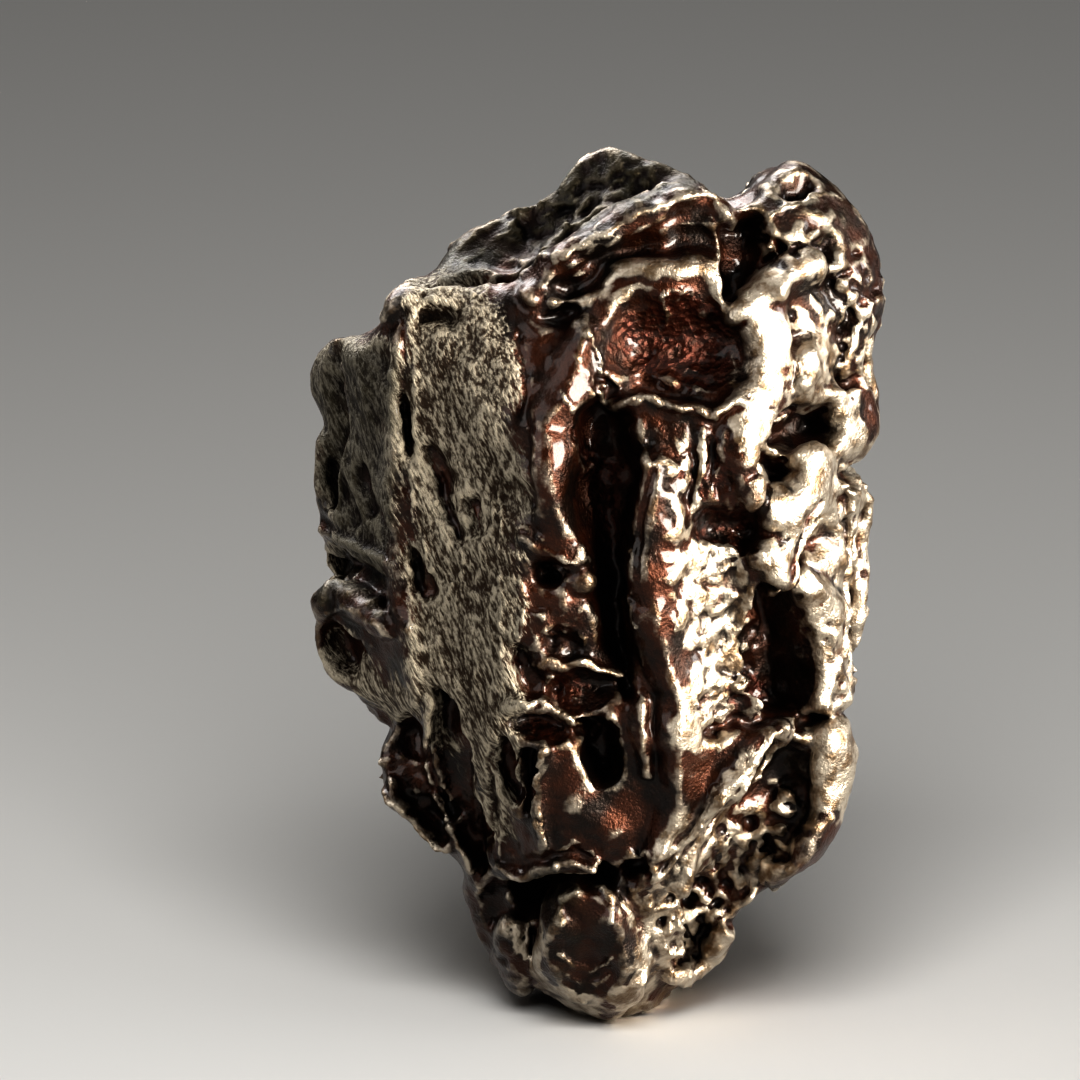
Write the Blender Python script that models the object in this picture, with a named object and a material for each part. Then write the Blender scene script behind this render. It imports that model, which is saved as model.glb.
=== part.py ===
"""An iron meteorite: one solid lump of nickel-iron, standing on the small flat spot under its toe.

Units are metres, +Z is up and the front faces -Y. Sizes and places are written in millimetres and
turned to metres where the mesh is made. The lump is shaped in three steps: a closed cage drawn in to
a smooth block, then the hollows and ridges pressed into its skin, broad ones first, then the outline
pulled to its measured line and the foot cut flat.
"""

import math
import random

import bmesh
import bpy
import numpy as np
from mathutils import Vector, noise

MM = 0.001
SKIN_STEP = 0.6  # spacing of the points that are pressed, in mm
TRIANGLES = 9600
IRON_COLOUR = (0.17, 0.12, 0.09, 1.0)
IRON_METALLIC = 0.8
IRON_ROUGHNESS = 0.4

# How marks are pressed: how far towards the eye, beside the skin's own direction, how far the skin may
# turn away from the eye before they fade out, and how far in mm their lines stray.
PRESS_LEAN = 0.6
GRAZING = (0.05, 0.3)
STRAY_BACK = 1.4
STRAY_FLANKS = 1.2
STRAY_TOP = 1.0
STRAY_HOLLOWS = 0.8
STRAY_RIDGES = 0.5
STRAY_SIZES = (4.5, 1.8)  # of the bends in those lines, in mm

# Hollows at random: their seed, how many, their half widths and depths in mm. On the front, where the
# hollows are placed by hand, they keep less than half of their depth.
BROAD_PRINTS = (3, 46, (6.0, 11.0), (0.8, 2.2))
SMALL_PRINTS = (8, 160, (2.0, 4.5), (0.3, 1.1))
FRONT_PRINTS = 0.4
FRONT_TURN = (0.0, 0.3)  # how far the skin turns to the eye where the front begins and is all there
RIPPLES = ((9.0, 0.7), (3.5, 0.35), (1.6, 0.18))  # random lumps all over: size and height, in mm

# How deep behind the seen edge the skin moves with it, in mm, and how often that is smoothed.
WIDE_BAND = (10.0, 16)
NARROW_BAND = (5.0, 5)
EDGE_REACH = 0.8  # how far along the edge a measured point looks for it, in mm
EDGE_FADE = 2.5  # how far past its last point an edge still pulls, in mm
EDGE_CREST = 0.3  # how deep behind the seen edge the skin moves as far as the edge itself, in mm
ROUND_LEVELS = 3  # how often the cage's faces are halved as it is smoothed
NORMAL_ROUNDS = 6  # how often the skin's directions are smoothed

# The front was measured by an eye this far above the horizon, with heights from the lowest point seen.
EYE_HEIGHT_DEG = 14.0
EYE_RISE = 1.3

# The cage, level by level: height, left, right, front and back, in mm.
LEVELS = (
    (-3.0, -4.5, 7.5, -5.5, 6.5),
    (1.5, -9.0, 10.5, -8.5, 9.5),
    (6.0, -11.8, 14.5, -10.5, 10.5),
    (12.0, -14.0, 19.5, -12.5, 12.5),
    (17.0, -18.5, 24.3, -15.5, 14.0),
    (23.0, -21.5, 25.8, -18.0, 16.0),
    (31.0, -25.0, 26.2, -19.8, 18.0),
    (40.0, -28.0, 27.2, -20.6, 19.3),
    (52.0, -27.8, 27.6, -21.0, 20.2),
    (62.0, -28.3, 28.3, -20.6, 20.4),
)

# The plan of every level, from -1 to 1 across and front to back: left, round the front, right, back.
PLAN = (
    (-1.00, 0.10),
    (-0.70, -0.52),
    (-0.25, -0.98),
    (0.15, -1.00),
    (0.55, -0.90),
    (0.85, -0.45),
    (1.00, 0.10),
    (0.84, 0.65),
    (0.42, 0.95),
    (-0.07, 1.00),
    (-0.50, 0.85),
    (-0.86, 0.55),
)
CORNERS = {1: 0.75, 2: 0.45, 4: 0.35, 5: 0.35, 8: 0.5, 11: 0.45}  # how sharp some of its corners stay
CAGE_SWELL = 1.045  # the smoothing draws a ring of twelve points in by this much
SHOULDER = (0.6, 1.06)  # the ring between the last level and the rim: how far up it lies, and its swell
CAGE_FOOT = (2.0, 0.5, -4.0)  # the lowest point of the cage

# The rim round the hollow top, one point for each point of the plan.
RIM = (
    (-26.5, 2.0, 69.5),
    (-20.0, -8.5, 78.5),
    (-9.0, -12.5, 78.5),
    (2.0, -12.5, 87.0),
    (11.5, -11.0, 89.5),
    (20.0, -8.0, 86.0),
    (26.0, 2.0, 84.0),
    (20.0, 12.0, 84.0),
    (10.5, 16.0, 82.0),
    (0.0, 16.5, 88.0),
    (-11.0, 15.5, 78.5),
    (-21.0, 11.0, 71.0),
)

# The floor of the hollow top, half way in from the rim.
BASIN = (
    (-17.0, 2.0, 70.0),
    (-13.5, -3.5, 73.0),
    (-7.0, -5.5, 72.0),
    (0.5, -5.5, 74.5),
    (8.0, -4.0, 78.5),
    (15.0, -3.0, 86.0),
    (19.0, 2.5, 88.5),
    (15.0, 7.0, 85.0),
    (7.0, 9.5, 77.5),
    (-1.0, 10.5, 76.0),
    (-8.0, 10.0, 71.5),
    (-14.0, 7.0, 69.0),
)
BASIN_MIDDLE = (-1.0, 2.5, 71.5)

# The outline seen from the front: left and right edge as (up, across), upper and lower edge as
# (across, up).
LEFT_EDGE = (
    (4.3, -10.2), (8.8, -12.2), (12.8, -13.5), (14.8, -13.6), (15.7, -14.6), (17.8, -17.5),
    (20.6, -20.0), (22.5, -21.6), (24.8, -21.7), (27.3, -21.5), (29.3, -21.8), (31.2, -23.0),
    (32.5, -25.5), (34.3, -27.0), (36.3, -27.9), (40.8, -28.5), (42.6, -28.2), (45.3, -27.1),
    (47.3, -27.0), (50.8, -27.8), (52.8, -28.2), (57.8, -27.8), (60.8, -27.8), (64.3, -28.5),
    (66.0, -28.2), (67.3, -27.3),
)
RIGHT_EDGE = (
    (4.0, 11.3), (7.3, 13.8), (9.3, 14.2), (10.6, 15.2), (13.3, 19.0), (15.0, 21.7),
    (17.8, 24.0), (22.8, 25.6), (28.3, 26.0), (30.0, 25.5), (32.8, 26.2), (36.8, 26.5), (42.8, 27.3),
    (49.8, 27.8), (53.3, 27.5), (55.4, 26.4), (57.8, 28.4), (61.8, 28.3), (66.8, 27.7), (69.8, 28.7),
    (74.8, 28.5), (79.0, 27.5), (82.0, 25.5),
)
UPPER_EDGE = (
    (-26.0, 68.2), (-24.5, 68.6), (-21.2, 70.8), (-19.8, 73.8), (-18.0, 74.5), (-16.3, 74.6),
    (-14.5, 77.8), (-12.5, 79.3), (-9.5, 81.0), (-5.5, 82.3), (-3.0, 84.3), (-1.3, 86.5), (1.5, 87.1),
    (6.0, 85.8), (10.5, 83.8), (14.5, 83.4), (17.5, 85.0), (20.5, 85.6), (22.7, 84.3),
)
LOWER_EDGE = (
    (-9.6, 3.8), (-8.6, 2.6), (-6.8, 1.8), (-5.4, 2.5), (-4.0, 1.8), (-2.2, 0.8), (0.4, 0.1), (3.0, 0.0),
    (5.2, 0.6), (6.8, 2.2), (8.0, 2.1), (10.0, 3.0), (12.2, 4.6),
)


# Profiles of a mark: how much of its height is left at a share of its half width from its line. The
# side is above 0 on the left of the line.
def arch(share, side):
    return 1 - share**2


def soft(share, side):
    return (1 - share**2) ** 2


def well(share, side):
    return step_up(1 - share, 0.0, 0.45)


def crest(share, side):
    return (1 - share) ** 1.3


def dome(share, side):
    return np.sqrt(1 - share**2)


def roof(share, side):
    return np.where(side > 0, 1 - share, 1 - share**2)


def ledge(share, side):
    return np.where(side > 0, (1 - share) ** 1.3, step_up(1 - share, 0.65, 1.0))


# Each mark is a height in mm (below 0 is a hollow), a profile, and a line of points as the eye sees
# them: across, up and half width.
FRONT_HOLLOWS = (
    # bowl under the rim, and the slope right of the middle ridge
    (-4.2, arch, ((6.4, 67.2, 5.6), (10.8, 66.9, 5.6))),
    (-2.2, soft, ((12.5, 47.0, 3.6), (14.0, 38.0, 4.6), (13.5, 31.0, 4.2))),
    # long gully between the two upright ridges
    (-4.8, soft, ((1.0, 60.5, 3.4), (1.0, 55.0, 5.0), (1.4, 48.0, 5.2), (2.2, 42.0, 3.8),
                  (2.9, 37.0, 2.6), (3.3, 32.5, 1.8))),
    # deep pit on the right
    (-6.5, well, ((18.0, 41.8, 2.6), (18.7, 36.8, 3.7), (19.5, 31.8, 2.5))),
    # angular pit, and the olive pit under it
    (-5.5, well, ((19.3, 58.8, 2.2), (22.3, 59.0, 2.6))),
    (-4.0, arch, ((16.5, 54.8, 2.4), (18.3, 54.2, 2.4))),
    # hollow left of the slanting band
    (-4.0, arch, ((12.0, 48.8, 2.6), (15.3, 48.2, 3.3))),
    # cavity under the front plate
    (-8.0, well, ((-6.5, 12.4, 2.6), (-3.5, 12.2, 3.5), (0.4, 13.6, 2.2))),
    # hooked cavity
    (-5.0, well, ((-1.6, 29.2, 1.1), (0.4, 28.2, 1.9), (0.9, 25.0, 1.5))),
    # recess beside the lower right lobe
    (-5.2, arch, ((11.0, 10.6, 3.2), (14.5, 14.6, 4.4), (17.0, 20.0, 4.8), (18.6, 25.4, 3.4))),
    # gully beside the upper right lobe, and the cleft that leads out of it
    (-4.8, well, ((14.6, 79.0, 1.9), (15.0, 75.8, 2.5), (14.3, 73.0, 2.1))),
    (-2.6, arch, ((15.5, 75.0, 1.6), (17.8, 75.7, 1.5), (19.6, 76.5, 1.0))),
    # under the shelf at the left, the hollow of the ear, and the cup below
    (-1.7, arch, ((-26.8, 45.2, 1.3), (-24.5, 44.6, 1.4), (-22.0, 43.2, 1.3), (-20.5, 41.4, 0.9))),
    (-2.6, arch, ((-26.0, 38.8, 1.5), (-25.2, 36.9, 1.9), (-24.5, 35.2, 1.4))),
    (-3.6, arch, ((-19.2, 28.6, 1.6), (-18.6, 25.0, 2.2), (-17.4, 22.0, 2.3), (-15.6, 19.6, 1.7))),
    # spindle, and the two slots beside it
    (-3.2, well, ((-15.5, 32.3, 0.7), (-15.2, 29.8, 1.6), (-14.9, 25.8, 2.4), (-14.0, 21.8, 2.2),
                  (-12.7, 17.8, 1.7), (-11.5, 15.0, 0.9))),
    (-2.2, well, ((-9.0, 27.0, 0.9), (-8.8, 24.3, 1.0), (-8.6, 22.0, 0.8))),
    (-3.6, well, ((-6.6, 26.3, 0.9), (-6.6, 23.3, 1.1), (-6.8, 20.8, 0.8))),
    # pockets of the middle front, from the lowest up
    (-3.2, arch, ((-7.0, 29.6, 1.9), (-4.4, 29.6, 2.1))),
    (-2.8, arch, ((-3.0, 32.8, 1.9), (-1.0, 32.8, 2.7), (0.7, 33.3, 2.0))),
    (-2.0, arch, ((-7.3, 36.3, 1.4), (-6.5, 33.8, 1.8))),
    (-1.8, arch, ((-4.3, 37.6, 1.3), (-2.8, 37.0, 1.3))),
    (-2.8, well, ((-5.0, 44.8, 1.4), (-3.5, 44.6, 1.8), (-2.2, 45.0, 1.2))),
    (-1.8, arch, ((-5.0, 70.0, 1.3), (-3.2, 69.8, 1.6))),
    # scars of the left face
    (-1.0, arch, ((-12.4, 51.2, 1.1), (-11.8, 49.8, 1.4), (-12.3, 48.6, 1.1))),
    (-1.3, arch, ((-16.7, 56.3, 0.9), (-15.5, 53.8, 1.5), (-14.8, 50.8, 1.5), (-13.8, 47.8, 0.9))),
    (-1.0, arch, ((-17.7, 46.6, 0.9), (-17.1, 44.3, 1.3), (-16.3, 42.6, 1.0))),
    (-1.6, arch, ((-19.0, 62.4, 0.6), (-18.8, 59.6, 1.1), (-18.6, 56.6, 0.9))),
    (-1.4, arch, ((-17.2, 70.2, 1.5), (-14.8, 69.6, 1.6))),
    # groove under the rim, and the pits of the upper right lobe
    (-2.0, arch, ((-3.0, 72.6, 1.4), (1.0, 75.2, 1.8), (5.0, 76.6, 1.6), (8.5, 76.8, 1.6),
                  (12.0, 77.0, 1.3))),
    (-2.6, arch, ((22.6, 77.2, 1.5), (22.9, 76.4, 1.2))),
    (-2.2, arch, ((19.5, 82.6, 1.3), (21.0, 83.0, 1.2))),
    # pits down the right-hand column, and the cracks between its lumps
    (-2.2, arch, ((23.1, 73.3, 1.5), (24.4, 71.6, 1.4), (25.0, 69.8, 1.6), (24.3, 68.2, 1.3))),
    (-1.8, arch, ((24.0, 64.3, 1.4), (25.3, 62.6, 1.1))),
    (-2.0, arch, ((19.6, 68.6, 1.2), (19.0, 66.6, 0.8))),
    (-1.6, arch, ((21.7, 68.4, 1.8),)),
    (-2.4, well, ((22.3, 50.3, 0.9), (21.0, 48.3, 1.1), (20.0, 45.8, 1.1), (19.6, 44.4, 0.7))),
    (-1.6, arch, ((22.4, 48.0, 2.1),)),
    (-1.6, arch, ((25.2, 51.8, 0.9), (25.5, 44.0, 1.1), (25.5, 36.0, 1.1))),
    (-2.4, well, ((25.0, 30.6, 1.2), (21.5, 29.7, 1.3), (18.5, 30.0, 1.3), (14.5, 29.0, 1.0),
                  (10.5, 28.3, 0.7))),
    # pits of the toe
    (-3.0, well, ((11.9, 9.0, 1.4), (10.8, 7.2, 2.0), (9.4, 5.4, 1.4))),
    (-2.0, arch, ((-9.6, 12.0, 1.8), (-9.2, 9.4, 1.6))),
    (-2.4, well, ((4.3, 14.7, 2.0),)),
    (-1.8, arch, ((12.7, 15.3, 1.1), (15.0, 12.6, 1.2), (17.0, 13.6, 1.2))),
)
FRONT_RIDGES = (
    # left and middle upright ridges
    (2.0, roof, ((-1.2, 68.3, 1.9), (-2.0, 64.8, 2.8), (-3.0, 61.8, 2.8), (-4.6, 58.8, 2.8),
                 (-4.5, 54.8, 2.9), (-3.6, 50.8, 2.9), (-2.3, 47.3, 2.7), (-1.4, 44.3, 1.8))),
    (2.6, roof, ((5.8, 55.6, 1.9), (6.2, 52.0, 3.1), (5.8, 46.0, 3.2), (6.3, 39.0, 2.9),
                 (8.2, 33.0, 2.8), (8.6, 26.0, 2.9), (8.0, 20.0, 3.0), (6.4, 17.4, 1.8))),
    (1.5, arch, ((3.2, 42.0, 1.0), (4.0, 34.0, 1.5), (4.6, 28.0, 1.6), (5.0, 24.5, 0.9))),
    # corner right of the arch, and the arm over it
    (1.8, arch, ((15.7, 71.8, 2.6), (17.5, 67.8, 3.3), (17.5, 62.8, 3.3), (14.9, 59.4, 3.0),
                 (13.8, 56.4, 2.0), (15.2, 52.5, 1.5))),
    (2.2, arch, ((14.0, 70.6, 2.0), (17.0, 72.6, 2.2), (20.5, 74.6, 2.2))),
    # lump, slanting band and the rim of the deep pit
    (2.6, soft, ((21.6, 68.2, 2.0), (20.8, 65.0, 3.0), (20.8, 62.8, 3.0))),
    (2.3, arch, ((21.6, 55.6, 2.4), (20.7, 52.8, 3.0), (18.8, 49.8, 3.3), (17.6, 46.3, 2.4),
                 (18.2, 44.0, 1.4))),
    (2.0, arch, ((20.2, 44.0, 1.6), (22.8, 40.8, 2.0), (23.6, 36.8, 2.0), (23.2, 32.2, 1.9))),
    # lower right lobe, and the long shard that leads up to it
    (3.0, arch, ((23.7, 28.0, 2.2), (24.3, 24.3, 3.0), (23.7, 20.3, 3.0), (21.4, 16.8, 2.6),
                 (18.6, 15.2, 1.8))),
    (2.0, ledge, ((5.0, 13.4, 1.8), (9.5, 18.3, 2.8), (12.0, 21.8, 2.8), (15.0, 25.3, 2.4),
                  (18.8, 29.0, 1.8))),
    # rim of the bowl, and the brow over it
    (1.4, arch, ((-6.5, 71.8, 1.4), (-3.5, 75.4, 1.6), (0.5, 77.9, 1.8), (4.5, 80.2, 1.8),
                 (8.5, 82.0, 1.8), (11.0, 82.0, 1.8), (13.0, 80.0, 1.4))),
    (1.0, soft, ((-4.7, 70.3, 1.6), (-2.5, 73.6, 1.9), (1.5, 75.0, 2.0), (6.5, 75.0, 1.8),
                 (11.0, 74.8, 1.8), (13.0, 72.3, 1.6))),
    (1.5, crest, ((0.2, 62.6, 1.2), (2.5, 61.0, 1.3), (5.0, 62.0, 1.3), (8.5, 60.8, 1.3),
                  (11.7, 60.5, 1.3), (14.5, 61.8, 1.2))),
    # knob of the toe with its tongue, the fold left of it and the lobe right of it
    (4.6, dome, ((-1.2, 12.2, 2.4), (-0.7, 9.0, 4.9), (-0.4, 6.0, 6.0))),
    (2.4, dome, ((-8.3, 9.0, 1.7), (-8.5, 6.4, 2.1), (-7.8, 4.0, 2.1))),
    (1.8, arch, ((7.9, 3.8, 1.3), (10.2, 4.0, 1.6), (12.4, 6.0, 1.7), (13.2, 8.6, 1.5))),
    (1.6, soft, ((-20.2, 71.8, 3.0), (-15.6, 72.6, 3.4))),
    # ear and shelf at the left
    (1.6, arch, ((-27.6, 41.2, 1.5), (-25.8, 42.6, 1.6), (-23.3, 41.8, 1.6), (-21.2, 40.2, 1.4),
                 (-20.2, 38.8, 1.1))),
    (1.0, ledge, ((-20.0, 45.2, 1.4), (-22.0, 46.5, 1.8), (-25.0, 47.8, 2.0), (-27.8, 49.6, 2.0))),
    (0.9, soft, ((-18.7, 74.0, 1.6), (-19.5, 66.0, 1.6), (-19.8, 55.0, 1.6), (-19.5, 46.0, 1.6),
                 (-18.5, 38.0, 1.6), (-17.5, 32.0, 1.4))),
    # lower edge of the front plate, and the borders of its slots
    (1.6, ledge, ((1.8, 15.2, 1.2), (-2.0, 16.2, 1.6), (-5.0, 15.8, 1.6), (-7.6, 15.2, 1.4),
                  (-9.8, 15.8, 1.1))),
    (1.2, crest, ((-5.4, 26.6, 1.0), (-5.8, 21.8, 1.1), (-5.2, 17.2, 1.2))),
    (1.2, crest, ((-16.4, 32.2, 1.0), (-17.0, 27.5, 1.0), (-17.0, 25.0, 1.1), (-15.5, 21.6, 1.1),
                  (-14.0, 18.2, 1.1), (-12.7, 14.8, 1.0))),
    (1.4, crest, ((-21.6, 22.6, 1.2), (-19.5, 20.4, 1.3), (-17.0, 18.4, 1.2), (-15.0, 17.0, 1.0))),
    # borders of the middle pockets
    (1.1, crest, ((-5.0, 35.6, 0.9), (-3.5, 35.2, 0.9), (-1.0, 35.8, 0.9), (2.6, 34.5, 0.8))),
    (1.2, crest, ((-8.5, 31.6, 0.9), (-4.8, 31.6, 1.0), (-3.0, 30.3, 1.0), (-0.5, 28.8, 0.9))),
    (1.1, crest, ((-7.0, 48.0, 0.8), (-4.5, 46.5, 0.9), (-1.8, 45.8, 0.9))),
    (0.7, soft, ((-1.5, 21.0, 2.6), (1.5, 18.8, 2.6))),
)
# The hollow face of the knob, pressed after the ridges.
KNOB_MARKS = ((-2.8, arch, ((-1.4, 10.2, 2.5), (-1.0, 7.0, 4.0), (-0.8, 4.8, 3.4))),)
BACK_MARKS = (
    (-3.4, arch, ((-9.0, 61.0, 6.5), (-6.0, 53.0, 7.5), (-9.0, 45.5, 5.5))),
    (-3.0, arch, ((13.0, 63.0, 5.5), (16.0, 55.0, 6.5))),
    (-4.2, soft, ((2.0, 76.0, 2.4), (5.0, 67.0, 3.6), (2.5, 57.0, 4.2), (4.5, 46.0, 3.8),
                  (8.0, 36.0, 2.4))),
    (-5.0, well, ((17.0, 39.0, 2.8), (14.5, 32.5, 3.6), (11.0, 26.5, 2.6))),
    (-3.0, arch, ((-15.0, 34.0, 4.6), (-11.0, 27.0, 5.2))),
    (-4.0, well, ((-18.5, 67.0, 2.6), (-20.5, 61.5, 3.0))),
    (-3.2, well, ((-2.5, 31.0, 2.0), (0.5, 26.0, 2.6))),
    (-3.0, well, ((6.0, 15.0, 2.6), (2.5, 10.5, 2.2))),
    (-2.4, arch, ((-8.0, 14.0, 3.0), (-5.0, 8.5, 3.0))),
    (-2.2, arch, ((-1.0, 72.0, 3.0), (-7.0, 74.5, 3.2))),
    (1.8, crest, ((-1.5, 68.0, 2.2), (-1.0, 58.0, 2.4), (-1.5, 46.0, 2.2), (0.5, 36.0, 1.8))),
    (1.6, crest, ((8.0, 47.5, 2.0), (13.0, 45.0, 2.2), (20.0, 46.5, 1.8))),
    (1.8, crest, ((-19.0, 48.0, 2.0), (-12.0, 39.0, 2.4), (-4.0, 35.5, 2.0))),
    (1.6, ledge, ((6.0, 22.0, 2.2), (0.0, 19.5, 2.6), (-6.0, 20.5, 2.2))),
)
LEFT_MARKS = (
    (-2.8, arch, ((-9.0, 60.0, 4.6), (-7.0, 51.5, 5.2))),
    (-2.6, soft, ((2.0, 68.0, 1.8), (1.0, 60.0, 2.2), (0.0, 53.0, 2.0))),
    (-4.0, well, ((-10.5, 39.0, 2.4), (-8.0, 33.0, 3.2))),
    (-2.6, arch, ((-3.5, 25.0, 3.4), (-1.5, 18.5, 3.0))),
    (-2.2, arch, ((1.0, 45.0, 2.2), (-3.0, 44.0, 2.4))),
    (2.4, soft, ((1.0, 39.5, 4.5), (0.0, 35.5, 4.0))),
    (1.4, crest, ((-3.0, 57.0, 1.8), (-3.0, 48.0, 1.8), (-6.0, 44.5, 1.4))),
    (1.2, crest, ((-12.0, 28.0, 1.6), (-6.0, 29.5, 1.8), (0.0, 30.0, 1.4))),
)
RIGHT_MARKS = (
    (-2.8, arch, ((7.0, 63.0, 4.6), (9.0, 55.0, 5.2))),
    (-3.2, well, ((2.5, 74.0, 2.0), (6.0, 71.5, 2.4))),
    (-2.2, soft, ((-2.0, 68.0, 1.6), (-1.0, 62.0, 1.9), (-2.0, 58.0, 1.5))),
    (-2.4, well, ((-9.0, 56.4, 1.0), (-3.0, 55.6, 1.3), (4.0, 56.4, 1.4), (9.0, 48.0, 1.2))),
    (-4.4, well, ((9.5, 41.0, 2.6), (7.5, 34.5, 3.4))),
    (-2.0, arch, ((-2.0, 48.0, 2.4), (-1.0, 41.0, 2.8), (-2.0, 34.5, 2.2))),
    (-2.6, arch, ((2.0, 26.0, 3.0), (4.0, 20.0, 3.0))),
    (1.4, crest, ((2.5, 52.0, 1.6), (3.0, 42.0, 1.8), (1.0, 33.0, 1.5))),
    (1.4, crest, ((12.0, 47.0, 1.8), (6.0, 48.5, 1.6), (3.0, 52.0, 1.4))),
)
TOP_MARKS = (
    (2.6, soft, ((-4.5, -11.0, 3.0), (1.5, -11.5, 3.8), (8.0, -10.5, 3.4))),
    (-2.0, soft, ((-16.0, 4.0, 2.4), (-9.0, 6.0, 3.0), (-2.0, 5.0, 3.2), (5.0, 6.0, 2.2))),
    (-1.6, arch, ((-6.0, 13.0, 2.4), (-1.0, 14.0, 2.2))),
    (-2.0, arch, ((12.5, 10.0, 2.6), (12.0, 15.0, 2.4))),
    (-1.6, arch, ((9.5, -1.5, 2.2), (12.5, 3.0, 2.2))),
    (1.2, crest, ((-18.0, 9.0, 1.6), (-8.0, 9.5, 1.6), (2.0, 11.5, 1.4))),
    (1.0, crest, ((-13.0, -6.0, 1.4), (-12.0, 0.0, 1.4), (-14.0, 5.0, 1.2))),
)
# The swelling under the toe, which is cut flat: seen from below, with the front up.
FOOT_MARKS = ((2.1, soft, ((1.8, -0.4, 6.8),)),)


def clear_scene():
    for obj in list(bpy.data.objects):
        bpy.data.objects.remove(obj, do_unlink=True)


def ring_at(level):
    """One level of the cage as twelve points."""
    height, left, right, front, back = level
    middle_x, middle_y = (left + right) / 2, (front + back) / 2
    half_x, half_y = (right - left) / 2 * CAGE_SWELL, (back - front) / 2 * CAGE_SWELL
    return [(middle_x + x * half_x, middle_y + y * half_y, height) for x, y in PLAN]


def ring_between(lower, upper, share, swell):
    """A ring part of the way from one ring to the next, swelled outwards."""
    ring = []
    for a, b in zip(lower, upper):
        x, y, z = (p + (q - p) * share for p, q in zip(a, b))
        ring.append((x * swell, y * swell, z))
    return ring


def build_cage():
    """The closed cage of quads that the block is smoothed from."""
    rings = [ring_at(level) for level in LEVELS]
    rings.append(ring_between(rings[-1], RIM, *SHOULDER))
    rings += [RIM, BASIN]
    bm = bmesh.new()
    sharpness = bm.edges.layers.float.new("crease_edge")
    loops = [[bm.verts.new(Vector(p) * MM) for p in ring] for ring in rings]
    count = len(PLAN)
    for lower, upper in zip(loops, loops[1:]):
        for i in range(count):
            bm.faces.new((lower[i], lower[(i + 1) % count], upper[(i + 1) % count], upper[i]))
    for lower, upper in zip(loops[2:-1], loops[3:-1]):
        for corner, sharp in CORNERS.items():
            bm.edges.get((lower[corner], upper[corner]))[sharpness] = sharp
    bottom = bm.verts.new(Vector(CAGE_FOOT) * MM)
    middle = bm.verts.new(Vector(BASIN_MIDDLE) * MM)
    for i in range(count):
        j = (i + 1) % count
        bm.faces.new((loops[0][j], loops[0][i], bottom))
        bm.faces.new((loops[-1][i], loops[-1][j], middle))
    mesh = bpy.data.meshes.new("meteorite")
    bm.to_mesh(mesh)
    bm.free()
    obj = bpy.data.objects.new("meteorite", mesh)
    bpy.context.scene.collection.objects.link(obj)
    return obj


def settle(obj):
    """Makes the object's modifiers part of its mesh."""
    graph = bpy.context.evaluated_depsgraph_get()
    mesh = bpy.data.meshes.new_from_object(obj.evaluated_get(graph))
    old = obj.data
    obj.modifiers.clear()
    obj.data = mesh
    bpy.data.meshes.remove(old)


def round_off(obj):
    rounding = obj.modifiers.new("Rounding", "SUBSURF")
    rounding.levels = rounding.render_levels = ROUND_LEVELS
    settle(obj)


def even_skin(obj, step):
    skin = obj.modifiers.new("Even skin", "REMESH")
    skin.mode = "VOXEL"
    skin.voxel_size = step * MM
    settle(obj)


def step_up(value, low, high):
    """0 below low, 1 above high and a smooth rise between them."""
    t = np.clip((value - low) / (high - low), 0, 1)
    return t * t * (3 - 2 * t)


def axes_of(azimuth_deg, elevation_deg):
    """The directions across and up as an eye far away sees them, and the direction to that eye."""
    a, e = math.radians(azimuth_deg), math.radians(elevation_deg)
    right = np.array((math.cos(a), math.sin(a), 0.0))
    up = np.array((-math.sin(a) * math.sin(e), math.cos(a) * math.sin(e), math.cos(e)))
    eye = np.array((math.sin(a) * math.cos(e), -math.cos(a) * math.cos(e), math.sin(e)))
    return right, up, eye


def read_skin(obj):
    """The mesh's points in mm and its outward directions, smoothed over their neighbours."""
    count = len(obj.data.vertices)
    points, normals = np.empty(count * 3), np.empty(count * 3)
    obj.data.vertices.foreach_get("co", points)
    obj.data.vertex_normals.foreach_get("vector", normals)
    normals = even_out(obj, normals.reshape(-1, 3), NORMAL_ROUNDS)
    return points.reshape(-1, 3) / MM, normals / np.linalg.norm(normals, axis=1)[:, None]


def write_skin(obj, points):
    obj.data.vertices.foreach_set("co", (points * MM).ravel())
    obj.data.update()


def even_out(obj, values, rounds):
    """Averages values over neighbouring points, a number of rounds."""
    edges = np.empty(len(obj.data.edges) * 2, np.int32)
    obj.data.edges.foreach_get("vertices", edges)
    a, b = edges.reshape(-1, 2).T
    total = len(values)
    count = np.bincount(a, minlength=total) + np.bincount(b, minlength=total)
    for _ in range(rounds):
        summed = np.zeros_like(values)
        for column in range(values.shape[1]):
            summed[:, column] = np.bincount(a, values[b, column], total)
            summed[:, column] += np.bincount(b, values[a, column], total)
        values = (values + summed / count[:, None]) / 2
    return values


def wobble(points, size, seed):
    """A smooth random value for each point, from about -1 to 1, with lumps of a size in mm."""
    shift = Vector((seed * 13.7, seed * 5.3, seed * 9.1))
    return np.array([noise.noise(Vector(p) / size + shift) for p in points])


def reach(across, up, line):
    """How far points lie from a line, as a share of its half width, and on which side of it."""
    if len(line) == 1:
        x, y, width = line[0]
        return np.hypot(across - x, up - y) / width, np.ones_like(across)
    nearest, side = np.full(across.shape, np.inf), np.ones_like(across)
    for (x0, y0, w0), (x1, y1, w1) in zip(line, line[1:]):
        dx, dy = x1 - x0, y1 - y0
        t = np.clip(((across - x0) * dx + (up - y0) * dy) / (dx * dx + dy * dy), 0, 1)
        off_x, off_y = across - x0 - t * dx, up - y0 - t * dy
        share = np.hypot(off_x, off_y) / (w0 + t * (w1 - w0))
        closer = share < nearest
        nearest = np.where(closer, share, nearest)
        side = np.where(closer, dx * off_y - dy * off_x, side)
    return nearest, side


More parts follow.
